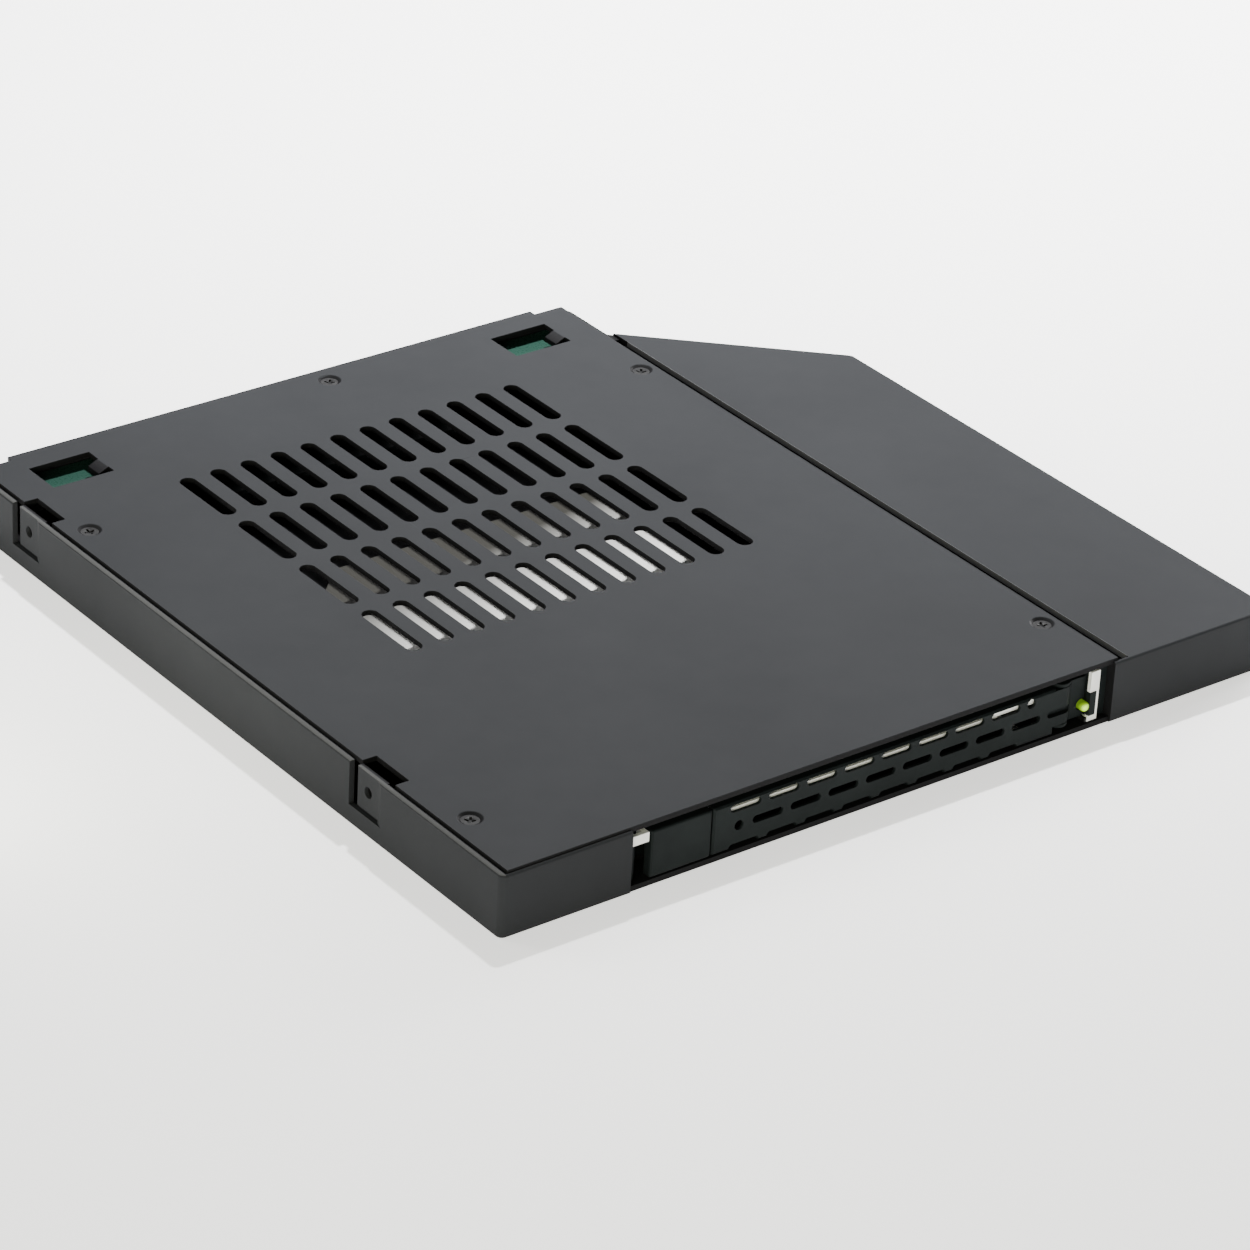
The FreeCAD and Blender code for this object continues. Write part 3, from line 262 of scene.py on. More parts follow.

# %% [markdown]
# ## Bright zinc on the tray
# The tray is bare zinc-plated sheet. It is bright, a little cloudy, and has faint rolling lines along
# the sheet. Stretching a noise along one axis gives the lines; a second noise gives the cloudiness.
# Towards its back the floor is darker, as painted shade, which is a slow ramp along one direction.
# Two dark marks are boxes again, both painted shade: on the cut edge under the latch block, and at the
# hinge.

# %% Where the zinc changes
SHADE_DIRECTION = (0.2, -0.98, 0.0)
SHADE_FROM = -19 * MM
SHADE_TO = -2 * MM
TRAY_SHEET = 0.6 * MM
LATCH_SHADE_ASIDE = 1 * MM
LATCH_SHADE_FRONT = 0.1 * MM
LATCH_SHADE_BACK = 0.3 * MM
LATCH_SHADE_RISE = 0.7 * MM
HINGE_SHADE_ASIDE = 3.5 * MM
HINGE_SHADE_ROUND = 2.5 * MM
HINGE_SHADE_RISE = 2.5 * MM
tray_low, tray_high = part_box("tray_pan")
tray_floor_high = (tray_high.x, tray_high.y, tray_low.z + TRAY_SHEET + SEAM)
latch_low, latch_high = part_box("latch_block")
# Boxes of painted shade under the latch block and at the hinge
latch_shade_low = (latch_low.x - LATCH_SHADE_ASIDE, latch_low.y - LATCH_SHADE_FRONT, latch_low.z - LATCH_SHADE_FRONT)
latch_shade_high = (latch_high.x + LATCH_SHADE_ASIDE, latch_low.y + LATCH_SHADE_BACK, latch_low.z + LATCH_SHADE_RISE)
hinge_low, hinge_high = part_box("hinge_block")
hinge_shade_low = (hinge_low.x - HINGE_SHADE_ASIDE, hinge_low.y - HINGE_SHADE_ROUND, latch_low.z - SEAM)
hinge_shade_high = (hinge_high.x, hinge_high.y + HINGE_SHADE_ROUND, latch_low.z + HINGE_SHADE_RISE)
print("tray floor from", round(tray_low.y / MM, 2), "to", round(tray_high.y / MM, 2), "mm")

# %% Zinc steel
ZINC_TONES = ((0.25, (0.84, 0.84, 0.82)), (0.75, (0.92, 0.92, 0.89)))
ZINC_CLOUD = 7 * MM
ZINC_GLOSS = (0.28, 0.46)
ZINC_SHINE = 0.15
ROLLING_LINES = (900.0, 12.0, 900.0)
ROLLING_DEPTH = 0.004 * MM
ROLLING_STRENGTH = 0.4
# Painted shade at the back of the tray's floor
ZINC_SHADE_TONE = (0.035, 0.034, 0.029)
# Painted shade under the latch block and at the hinge
SHADE_MARK_TONE = (0.008, 0.008, 0.008)


def dulled(tree, place):
    """How much painted shade the floor gets: one at the back of the tray's floor, zero at its front and
    elsewhere.
    """
    along = add_node(tree, "ShaderNodeVectorMath", {"operation": "DOT_PRODUCT"})
    along.inputs[1].default_value = SHADE_DIRECTION
    tree.links.new(place, along.inputs[0])
    fade = add_node(tree, "ShaderNodeMapRange", From_Min=SHADE_FROM, From_Max=SHADE_TO,
                    To_Min=1.0, To_Max=0.0)
    tree.links.new(along.outputs["Value"], fade.inputs["Value"])
    on_floor = within(tree, place, tray_low, tray_floor_high)
    return math_node(tree, "MULTIPLY", fade.outputs["Result"], on_floor)


def zinc_steel():
    """Zinc-plated sheet with faint rolling lines from front to back."""
    material, tree, shader, place = new_material("zinc_steel")
    # Painted shade under the latch block and at the hinge
    shade_marks = math_node(tree, "MAXIMUM", within(tree, place, latch_shade_low, latch_shade_high),
                       within(tree, place, hinge_shade_low, hinge_shade_high))
    tone = ramp(tree, noise(tree, place, ZINC_CLOUD), ZINC_TONES)
    # Painted shade towards the back of the tray's floor
    tone = mix(tree, dulled(tree, place), tone, ZINC_SHADE_TONE)
    tone = mix(tree, shade_marks, tone, SHADE_MARK_TONE)
    tree.links.new(tone, shader.inputs["Base Color"])
    stretch = add_node(tree, "ShaderNodeMapping", Scale=ROLLING_LINES)
    tree.links.new(place, stretch.inputs["Vector"])
    lines = noise(tree, stretch.outputs["Vector"], size=1.0, detail=4.0)
    tree.links.new(spread(tree, lines, *ZINC_GLOSS), shader.inputs["Roughness"])
    shader.inputs["Specular IOR Level"].default_value = ZINC_SHINE
    bump(tree, shader, lines, ROLLING_DEPTH, ROLLING_STRENGTH)
    return material


finishes["zinc_steel"] = zinc_steel()
print("made", sorted(finishes))

# %% [markdown]
# ## Plated steel, moulded plastic, gold and ceramic
# The posts and pins are nickel-plated steel, and the cover's screws are blackened. The handle, the rails
# and the sockets are black plastic with the matt grain of an etched mould. The contacts are thin gold
# plating, and the chip capacitors are fired ceramic.
# All five follow one recipe: a blotchy tone, a gloss that a fine noise makes uneven and, on some,
# the same noise as a shallow bump. So one function makes them from a table of named values.


# %% Plain finishes
def plain_finish(name, tones, blotch, gloss, grain, metal=0.0, shine=0.5, relief=None):
    """A blotchy tone and an uneven gloss; relief is the depth and the strength of the bump."""
    material, tree, shader, place = new_material(name)
    tone = ramp(tree, noise(tree, place, blotch), tones)
    tree.links.new(tone, shader.inputs["Base Color"])
    fine = noise(tree, place, grain)
    tree.links.new(spread(tree, fine, *gloss), shader.inputs["Roughness"])
    shader.inputs["Metallic"].default_value = metal
    shader.inputs["Specular IOR Level"].default_value = shine
    if relief:
        bump(tree, shader, fine, *relief)
    return material


PLAIN_FINISHES = {
    "plated_steel": dict(
        tones=((0.3, (0.16, 0.16, 0.16)), (0.7, (0.24, 0.24, 0.235))), blotch=1.2 * MM,
        gloss=(0.25, 0.4), grain=0.15 * MM, metal=1.0, relief=(0.003 * MM, 0.4)),
    "dark_steel": dict(
        tones=((0.35, (0.014, 0.014, 0.015)), (0.7, (0.03, 0.03, 0.031))), blotch=0.5 * MM,
        gloss=(0.35, 0.5), grain=0.2 * MM, shine=0.06),
    "black_plastic": dict(
        tones=((0.3, (0.0084, 0.0108, 0.0112)), (0.7, (0.0115, 0.0146, 0.015))), blotch=5 * MM,
        gloss=(0.42, 0.6), grain=0.12 * MM, shine=0.05, relief=(0.01 * MM, 0.5)),
    "gold_contact": dict(
        tones=((0.3, (0.72, 0.48, 0.14)), (0.7, (0.86, 0.6, 0.22))), blotch=0.5 * MM,
        gloss=(0.18, 0.32), grain=0.1 * MM, metal=1.0),
    "tan_chip": dict(
        tones=((0.3, (0.26, 0.18, 0.1)), (0.7, (0.36, 0.26, 0.15))), blotch=0.3 * MM,
        gloss=(0.4, 0.6), grain=0.1 * MM),
}
for name, values in PLAIN_FINISHES.items():
    finishes[name] = plain_finish(name, **values)
print("made", sorted(finishes))

# %% [markdown]
# ## The circuit board
# The board has a green solder mask over copper lines that show as slightly lighter, raised tracks.
# A Brick texture draws the tracks: its bricks are the copper, long and narrow, and its mortar is
# the bare board between them. The same pattern drives the tone and the bump.

# %% Green board
BOARD_TONES = ((0.0, (0.019, 0.053, 0.04)), (1.0, (0.033, 0.085, 0.065)))
BOARD_GLOSS = (0.22, 0.34)
BOARD_GLOSS_PATCH = 0.4 * MM
BOARD_SHINE = 0.06
TRACK_PITCH = 0.9 * MM
TRACK_LENGTH = 3.4
TRACK_GAP = 0.14
TRACK_STAGGER = 0.37
TRACK_LEVELS = {"Color1": (1, 1, 1, 1), "Color2": (0.75, 0.75, 0.75, 1), "Mortar": (0, 0, 0, 1)}
TRACK_DEPTH = 0.03 * MM
TRACK_STRENGTH = 0.6


def green_board():
    """Green solder mask with raised copper tracks."""
    material, tree, shader, place = new_material("green_board")
    tracks = add_node(tree, "ShaderNodeTexBrick", {"offset": TRACK_STAGGER}, Scale=1.0 / TRACK_PITCH,
                      Mortar_Size=TRACK_GAP, Brick_Width=TRACK_LENGTH, **TRACK_LEVELS)
    tree.links.new(place, tracks.inputs["Vector"])
    tree.links.new(ramp(tree, tracks.outputs["Color"], BOARD_TONES), shader.inputs["Base Color"])
    gloss = spread(tree, noise(tree, place, BOARD_GLOSS_PATCH), *BOARD_GLOSS)
    tree.links.new(gloss, shader.inputs["Roughness"])
    shader.inputs["Specular IOR Level"].default_value = BOARD_SHINE
    bump(tree, shader, tracks.outputs["Color"], TRACK_DEPTH, TRACK_STRENGTH)
    return material


finishes["green_board"] = green_board()
print("tracks every", round(TRACK_PITCH / MM, 2), "mm")

# %% [markdown]
# ## The lit light pipe
# A clear bar carries the lamp's light to the tray's front, where its end glows yellow-green.
# The glow is hottest in the middle of the lens and fades to dark olive at its rim and behind it, so it is
# a ramp over the distance from the lens's centre. Painting it by place keeps it on the part in every view.

# %% Lit acrylic
PIPE_TONES = ((0.3, (0.05, 0.09, 0.01)), (0.7, (0.08, 0.13, 0.02)))
PIPE_BLOTCH = 1 * MM
PIPE_GLOSS = (0.1, 0.2)
PIPE_GLOSS_PATCH = 0.3 * MM
GLOW = ((0.0, (0.66, 1.0, 0.05)), (0.4, (0.5, 0.84, 0.02)),
        (0.75, (0.13, 0.24, 0.002)), (1.0, (0.03, 0.06, 0.001)))
GLOW_RADIUS = 0.75 * MM
GLOW_LENGTH = 1.2 * MM
GLOW_STRENGTH = 2.4
LENS_ASIDE = 0.15 * MM
LENS_RISE = 1.0 * MM
pipe_low, pipe_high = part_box("light_pipe")
lens_front = pipe_low.y
lens_centre = Vector(((pipe_low.x + pipe_high.x) / 2 + LENS_ASIDE, lens_front, pipe_high.z - LENS_RISE))


def clear_green():
    """Clear plastic that glows at its front end."""
    material, tree, shader, place = new_material("clear_green")
    away = add_node(tree, "ShaderNodeVectorMath", {"operation": "SUBTRACT"})
    away.inputs[1].default_value = lens_centre
    tree.links.new(place, away.inputs[0])
    scaled = add_node(tree, "ShaderNodeVectorMath", {"operation": "MULTIPLY"})
    scaled.inputs[1].default_value = (1 / GLOW_RADIUS, 1 / GLOW_LENGTH, 1 / GLOW_RADIUS)
    tree.links.new(away.outputs["Vector"], scaled.inputs[0])
    reach = add_node(tree, "ShaderNodeVectorMath", {"operation": "LENGTH"})
    tree.links.new(scaled.outputs["Vector"], reach.inputs[0])
    tree.links.new(ramp(tree, reach.outputs["Value"], GLOW), shader.inputs["Emission Color"])
    shader.inputs["Emission Strength"].default_value = GLOW_STRENGTH
    tone = ramp(tree, noise(tree, place, PIPE_BLOTCH), PIPE_TONES)
    tree.links.new(tone, shader.inputs["Base Color"])
    gloss = spread(tree, noise(tree, place, PIPE_GLOSS_PATCH), *PIPE_GLOSS)
    tree.links.new(gloss, shader.inputs["Roughness"])
    return material


finishes["clear_green"] = clear_green()
print("lens front at", round(lens_front / MM, 2), "mm")

# %% [markdown]
# ## Giving each node its finish
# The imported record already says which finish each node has, by slot name.
# Reading it from there keeps the pictures and the record in step.

# %% Assign finishes to the nodes
slots = {row["node"]: row["material_slot"] for row in frame["record"]["subparts"]}
for name, node in nodes.items():
    node.data.materials.clear()
    node.data.materials.append(finishes[slots[name]])
print("finished nodes", len(nodes))

# %% [markdown]
# ## Rounding the edges that catch the light
# A folded and punched sheet has no knife edges: each edge is rounded by a tenth or two of a millimetre
# and shows as a thin light line. The CAD solids keep these edges sharp, so each shell that shows is
# copied, its loose triangles are merged back into flat faces, and a Bevel modifier rounds what is left.
# The rounding only takes material away, so the copy stays inside the solid.
# The leaf spring is copied as well.


# %% Rounded copies of the shells
behaviour = frame["record"]["behaviour"]
BODY_OF = {name: body for body, names in behaviour["bodies"].items() for name in names}
MERGE_DISTANCE = 0.002 * MM
FLAT_ANGLE = math.radians(1.0)
EDGE_ANGLE = math.radians(35)
EDGE_SEGMENTS = 2
FLAT_WEIGHT = 100


def rounded_copy(name, width):
    """A copy of a CAD node with its sharp edges rounded, which stands for the node."""
    shell = bmesh.new()
    shell.from_mesh(nodes[name].data)
    bmesh.ops.remove_doubles(shell, verts=shell.verts, dist=MERGE_DISTANCE)
    bmesh.ops.dissolve_limit(shell, angle_limit=FLAT_ANGLE, verts=shell.verts, edges=shell.edges)
    mesh = bpy.data.meshes.new(name + "_rounded")
    shell.to_mesh(mesh)
    shell.free()
    piece = bpy.data.objects.new(name + "_rounded", mesh)
    bpy.context.scene.collection.objects.link(piece)
    rounding = piece.modifiers.new("edge_rounding", "BEVEL")
    rounding.width = width
    rounding.segments = EDGE_SEGMENTS
    rounding.limit_method = "ANGLE"
    rounding.angle_limit = EDGE_ANGLE
    shading = piece.modifiers.new("flat_faces_stay_flat", "WEIGHTED_NORMAL")
    shading.weight = FLAT_WEIGHT
    mesh.shade_smooth()
    bpy.context.view_layer.update()
    graph = bpy.context.evaluated_depsgraph_get()
    finished = bpy.data.meshes.new_from_object(piece.evaluated_get(graph))
    piece.modifiers.clear()
    piece.data = finished
    piece.data.materials.clear()
    piece.data.materials.append(finishes[slots[name]])
    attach(piece, BODY_OF[name])
    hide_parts(name)
    return piece


ROUNDED = {
    "lower_housing": 0.12 * MM,
    "top_cover": 0.14 * MM,
    "tray_pan": 0.1 * MM,
    "handle": 0.12 * MM,
    "release_button": 0.12 * MM,
    "left_guide_rail": 0.15 * MM,
    "right_guide_rail": 0.15 * MM,
    "latch_block": 0.12 * MM,
    "hinge_block": 0.1 * MM,
    "drive_socket": 0.1 * MM,
    "host_connector": 0.1 * MM,
    "release_spring": 0.03 * MM,
}
rounded = {name: rounded_copy(name, width) for name, width in ROUNDED.items()}
for name, piece in rounded.items():
    print(piece.name, len(piece.data.polygons), "faces")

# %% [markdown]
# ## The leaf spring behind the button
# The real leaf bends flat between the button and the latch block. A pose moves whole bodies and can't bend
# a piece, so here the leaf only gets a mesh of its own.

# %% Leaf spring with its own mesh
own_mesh(rounded["release_spring"])

# %% [markdown]
# ## Geometry Nodes for the small repeated pieces
# Screws, contacts and solder joints repeat, and each is one rule with a few sizes. A Geometry Nodes tree
# holds that rule, with its sizes as named inputs, and puts a copy on every place it is given.
# The places come from the CAD nodes themselves: each node is a group of separate solids, so finding
# its islands of connected triangles gives one corner box for each piece.


# %% Places from the CAD nodes
def islands(name):
    """The corner boxes of a node's separate solids, from left to right."""
    solid = bmesh.new()
    solid.from_mesh(nodes[name].data)
    bmesh.ops.remove_doubles(solid, verts=solid.verts, dist=MERGE_DISTANCE)
    left = set(solid.verts)
    boxes = []
    while left:
        front = [left.pop()]
        found = []
        while front:
            vert = front.pop()
            found.append(vert.co.copy())
            for edge in vert.link_edges:
                other = edge.other_vert(vert)
                if other in left:
                    left.remove(other)
                    front.append(other)
        low = Vector(min(p[i] for p in found) for i in range(3))
        high = Vector(max(p[i] for p in found) for i in range(3))
        boxes.append((low, high))
    solid.free()
    return sorted(boxes, key=lambda box: (box[0].x, box[0].y))


print("cover screws at", [tuple(round(v / MM, 2) for v in low) for low, high in islands("cover_screws")])


# %% Helpers for trees
def new_tree(name, sizes):
    """A tree with places and sizes as its inputs; returns it with its entry and exit nodes."""
    tree = bpy.data.node_groups.new(name, "GeometryNodeTree")
    tree.interface.new_socket("Places", in_out="INPUT", socket_type="NodeSocketGeometry")
    for label in sizes:
        tree.interface.new_socket(label, in_out="INPUT", socket_type="NodeSocketFloat")
    tree.interface.new_socket("Finish", in_out="INPUT", socket_type="NodeSocketMaterial")
    tree.interface.new_socket("Pieces", in_out="OUTPUT", socket_type="NodeSocketGeometry")
    return tree, tree.nodes.new("NodeGroupInput").outputs, tree.nodes.new("NodeGroupOutput").inputs


def feed(tree, socket, value):
    """Gives a socket its value, which is a plain number or another socket."""
    if isinstance(value, bpy.types.NodeSocket):
        tree.links.new(value, socket)
    else:
        socket.default_value = value


def geo(tree, kind, settings=None, **inputs):
    """Adds one geometry node; inputs are numbers or sockets, by socket name."""
    node = tree.nodes.new(kind)
    for key, value in (settings or {}).items():
        setattr(node, key, value)
    for key, value in inputs.items():
        feed(tree, node.inputs[key.replace("_", " ")], value)
    return node


def calc(tree, operation, first, second=0.0):
    """One step of arithmetic."""
    node = tree.nodes.new("ShaderNodeMath")
    node.operation = operation
    feed(tree, node.inputs[0], first)
    feed(tree, node.inputs[1], second)
    return node.outputs[0]


print("tree helpers ready")


# %% Copies on every place
def place_copies(tree, entry, leave, shape, turn=0.0):
    """Puts a shape on every place, makes the copies real and gives them their finish."""
    spin = geo(tree, "ShaderNodeCombineXYZ", Z=turn)
    copies = geo(tree, "GeometryNodeInstanceOnPoints", Points=entry["Places"], Instance=shape)
    tree.links.new(spin.outputs["Vector"], copies.inputs["Rotation"])
    real = geo(tree, "GeometryNodeRealizeInstances", Geometry=copies.outputs["Instances"])
    finish = geo(tree, "GeometryNodeSetMaterial", Geometry=real.outputs["Geometry"],
                 Material=entry["Finish"])
    tree.links.new(finish.outputs["Geometry"], leave["Pieces"])


def grow(name, tree, places, sizes, slot, body, replaced=None):
    """Runs a tree on a list of places and keeps the plain mesh that it makes."""
    cloud = bpy.data.meshes.new(name)
    cloud.from_pydata(places, [], [])
    piece = bpy.data.objects.new(name, cloud)
    bpy.context.scene.collection.objects.link(piece)
    growth = piece.modifiers.new(tree.name, "NODES")
    growth.node_group = tree
    values = dict(sizes, Finish=finishes[slot])
    for socket in tree.interface.items_tree:
        if socket.in_out == "INPUT" and socket.name in values:
            growth[socket.identifier] = values[socket.name]
    bpy.context.view_layer.update()
    graph = bpy.context.evaluated_depsgraph_get()
    finished = bpy.data.meshes.new_from_object(piece.evaluated_get(graph))
    finished.materials.clear()
    finished.materials.append(finishes[slot])
    finished.polygons.foreach_set("material_index", [0] * len(finished.polygons))
    piece.modifiers.clear()
    piece.data = finished
    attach(piece, body)
    if replaced:
        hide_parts(replaced)
    print(name, len(places), "places", len(finished.polygons), "faces")


print("growing with", len(finishes), "finishes")

# %% [markdown]
# ## A lathe made of nodes
# A screw and a solder joint are both turned shapes: a list of rings, each with a radius and a height.
# A cylinder with as many rows as there are rings is the blank, and an Index Switch looks up the radius and
# the height of each row. That keeps the whole profile in one short list, with no boolean for the outside.


# %% Turned shapes
ROUND_STEPS = 40


def turned(tree, rings):
    """A turned solid from (radius, height) rings, listed from the bottom up."""
    last = len(rings) - 1
    blank = geo(tree, "GeometryNodeMeshCylinder", Vertices=ROUND_STEPS, Side_Segments=last,
                Radius=1.0, Depth=1.0)
    place = geo(tree, "GeometryNodeInputPosition").outputs["Position"]
    split = geo(tree, "ShaderNodeSeparateXYZ", Vector=place)
    share = calc(tree, "ADD", split.outputs["Z"], 0.5)
    row = calc(tree, "ROUND", calc(tree, "MULTIPLY", share, float(last)))
    chosen = []
    for part in range(2):
        table = geo(tree, "GeometryNodeIndexSwitch", {"data_type": "FLOAT"})
        while len(table.index_switch_items) < len(rings):
            table.index_switch_items.new()
        tree.links.new(row, table.inputs["Index"])
        for index, ring in enumerate(rings):
            feed(tree, table.inputs[str(index)], ring[part])
        chosen.append(table.outputs["Output"])
    radius, height = chosen
    target = geo(tree, "ShaderNodeCombineXYZ", Z=height)
    tree.links.new(calc(tree, "MULTIPLY", split.outputs["X"], radius), target.inputs["X"])
    tree.links.new(calc(tree, "MULTIPLY", split.outputs["Y"], radius), target.inputs["Y"])
    return geo(tree, "GeometryNodeSetPosition", Geometry=blank.outputs["Mesh"],
               Position=target.outputs["Vector"]).outputs["Geometry"]


def smooth_by_angle(tree, shape, angle):
    """Smooth shading that keeps edges sharper than an angle."""
    fold = geo(tree, "GeometryNodeInputMeshEdgeAngle").outputs["Unsigned Angle"]
    steep = calc(tree, "GREATER_THAN", fold, angle)
    smooth = geo(tree, "GeometryNodeSetShadeSmooth", {"domain": "FACE"}, Geometry=shape)
    keep = geo(tree, "GeometryNodeSetShadeSmooth", {"domain": "EDGE"},
               Geometry=smooth.outputs["Geometry"], Selection=steep, Shade_Smooth=False)
    return keep.outputs["Geometry"]


print("lathe ready,", ROUND_STEPS, "steps round")

# %% [markdown]
# ## Screws with a cross recess
# The five cover screws sit a little below the cover in their countersinks, and the board's two have flat
# round heads. Both kinds are one turned profile with a cross cut into it by a boolean, and
# each copy is turned by a seeded random angle, because nobody lines up screws.

# %% Screw tree
SCREW_SIZES = ["Head Radius", "Seat Radius", "Shank Radius", "Head Height", "Length", "Rim",
               "Cross Length", "Cross Width", "Cross Depth"]
SCREW_SEED = 5
SCREW_TURN = math.radians(90)
DIMPLE_STEPS = 16
DIMPLE_SHARE = 0.42
DIMPLE_TIP = 0.05 * MM
DIMPLE_SINK = -0.999


def cross_screw():
    """A screw whose head's top is at the place it is put."""
    tree, size, leave = new_tree("cross_screw", SCREW_SIZES)
    minus_head = calc(tree, "MULTIPLY", size["Head Height"], -1.0)
    rings = [
        (size["Shank Radius"], calc(tree, "MULTIPLY", size["Length"], -1.0)),
        (size["Shank Radius"], minus_head),
        (size["Seat Radius"], minus_head),
        (size["Head Radius"], calc(tree, "MULTIPLY", size["Rim"], -1.0)),
        (calc(tree, "SUBTRACT", size["Head Radius"], size["Rim"]), 0.0),
    ]
    blank = turned(tree, rings)
    cutters = []
    depth = calc(tree, "MULTIPLY", size["Cross Depth"], 2.0)
    for across, along in (("Cross Length", "Cross Width"), ("Cross Width", "Cross Length")):
        extent = geo(tree, "ShaderNodeCombineXYZ", X=size[across], Y=size[along], Z=depth)
        cutters.append(geo(tree, "GeometryNodeMeshCube", Size=extent.outputs["Vector"]).outputs["Mesh"])
    wide = calc(tree, "MULTIPLY", size["Cross Length"], DIMPLE_SHARE)
    dimple = geo(tree, "GeometryNodeMeshCone", Vertices=DIMPLE_STEPS, Radius_Top=wide,
                 Radius_Bottom=DIMPLE_TIP, Depth=size["Cross Depth"])
    lower = geo(tree, "ShaderNodeCombineXYZ", Z=calc(tree, "MULTIPLY", size["Cross Depth"], DIMPLE_SINK))
    sunk = geo(tree, "GeometryNodeTransform", Geometry=dimple.outputs["Mesh"],
               Translation=lower.outputs["Vector"])
    cut = geo(tree, "GeometryNodeMeshBoolean", {"operation": "DIFFERENCE", "solver": "EXACT"}, Mesh_1=blank)
    for cutter in cutters + [sunk.outputs["Geometry"]]:
        tree.links.new(cutter, cut.inputs["Mesh 2"])
    cut.inputs["Self Intersection"].default_value = True
    # Input 3 of the Random Value node is the largest float, and output 1 the float that it draws
    random = geo(tree, "FunctionNodeRandomValue", {"data_type": "FLOAT"}, Seed=SCREW_SEED)
    random.inputs[3].default_value = SCREW_TURN
    screw = smooth_by_angle(tree, cut.outputs["Mesh"], EDGE_ANGLE)
    place_copies(tree, size, leave, screw, random.outputs[1])
    return tree


screw_tree = cross_screw()
print("screw tree", len(screw_tree.nodes), "nodes")

# %% Cover screws and board screws
COVER_SCREW = {"Shank Radius": 0.8 * MM, "Seat Radius": 0.8 * MM, "Head Height": 0.4 * MM,
               "Rim": 0.08 * MM, "Cross Length": 1.5 * MM, "Cross Width": 0.34 * MM,
               "Cross Depth": 0.28 * MM}
BOARD_SCREW = dict(COVER_SCREW, **{"Head Height": 0.8 * MM, "Rim": 0.25 * MM})
for node, sizes, tapered in (("cover_screws", COVER_SCREW, True), ("board_screws", BOARD_SCREW, False)):
    boxes = islands(node)
    low, high = boxes[0]
    sizes["Length"] = high.z - low.z
    sizes["Head Radius"] = (high.x - low.x) / 2
    if not tapered:
        sizes["Seat Radius"] = sizes["Head Radius"]
    tops = [((a.x + b.x) / 2, (a.y + b.y) / 2, b.z) for a, b in boxes]
    grow(node + "_crossed", screw_tree, tops, sizes, slots[node], BODY_OF[node], node)

# %% [markdown]
# ## Sprung contacts
# Each contact in the two sockets is a thin gold strip that is crowned in the middle, so that it presses on
# the plug, and narrower at its tip. A box with twelve steps along its length follows that rule:
# a sine lifts it, and the width tapers near the end.

# %% Contact tree
CONTACT_SIZES = ["Width", "Length", "Thickness", "Crown", "Taper"]
CONTACT_STEPS = 12
CONTACT_CROWN = 0.12 * MM
CONTACT_TAPER = 6.0
TIP_POWER = 4.0


def sprung_contact():
    """A crowned strip along Y, its lower face at the place it is put."""
    tree, size, leave = new_tree("sprung_contact", CONTACT_SIZES)
    extent = geo(tree, "ShaderNodeCombineXYZ", X=size["Width"], Y=size["Length"], Z=size["Thickness"])
    strip = geo(tree, "GeometryNodeMeshCube", Size=extent.outputs["Vector"], Vertices_Y=CONTACT_STEPS + 1)
    place = geo(tree, "GeometryNodeInputPosition").outputs["Position"]
    split = geo(tree, "ShaderNodeSeparateXYZ", Vector=place)
    along = calc(tree, "ADD", calc(tree, "DIVIDE", split.outputs["Y"], size["Length"]), 0.5)
    arch = calc(tree, "SINE", calc(tree, "MULTIPLY", along, math.pi))
    lift = calc(tree, "MULTIPLY", arch, size["Crown"])
    above_foot = calc(tree, "ADD", split.outputs["Z"], calc(tree, "MULTIPLY", size["Thickness"], 0.5))
    raised = calc(tree, "ADD", above_foot, lift)
    from_middle = calc(tree, "ABSOLUTE", calc(tree, "SUBTRACT", along, 0.5))
    near_tip = calc(tree, "POWER", from_middle, TIP_POWER)
    narrow = calc(tree, "SUBTRACT", 1.0, calc(tree, "MULTIPLY", near_tip, size["Taper"]))
    target = geo(tree, "ShaderNodeCombineXYZ", X=calc(tree, "MULTIPLY", split.outputs["X"], narrow),
                 Y=split.outputs["Y"], Z=raised)
    bent = geo(tree, "GeometryNodeSetPosition", Geometry=strip.outputs["Mesh"],
               Position=target.outputs["Vector"])
    place_copies(tree, size, leave, bent.outputs["Geometry"])
    return tree


contact_tree = sprung_contact()
for node in ("socket_contacts", "host_contacts"):
    boxes = islands(node)
    low, high = boxes[0]
    sizes = {"Width": high.x - low.x, "Length": high.y - low.y, "Thickness": high.z - low.z,
             "Crown": CONTACT_CROWN, "Taper": CONTACT_TAPER}
    feet = [((a.x + b.x) / 2, (a.y + b.y) / 2, a.z) for a, b in boxes]
    grow(node + "_sprung", contact_tree, feet, sizes, slots[node], BODY_OF[node], node)

# %% [markdown]
# ## Solder joints on the board
# The contacts' tails come up through the board and end in a row of small tin cones, one over each contact.
# The CAD leaves these out, so the same lathe turns them: a wide foot, a hollow flank and the cut tail.

# %% Solder joints
JOINT_SIZES = ["Foot Radius", "Tail Radius", "Height"]
JOINT = {"Foot Radius": 0.42 * MM, "Tail Radius": 0.16 * MM, "Height": 0.55 * MM}
FLANK_RADIUS, FLANK_HEIGHT = 0.62, 0.25
NECK_RADIUS, NECK_HEIGHT = 1.25, 0.62
JOINT_EDGE = math.radians(50)
SOCKET_ROW_INSET = 1.4 * MM
HOST_ROW_INSET = 0.6 * MM


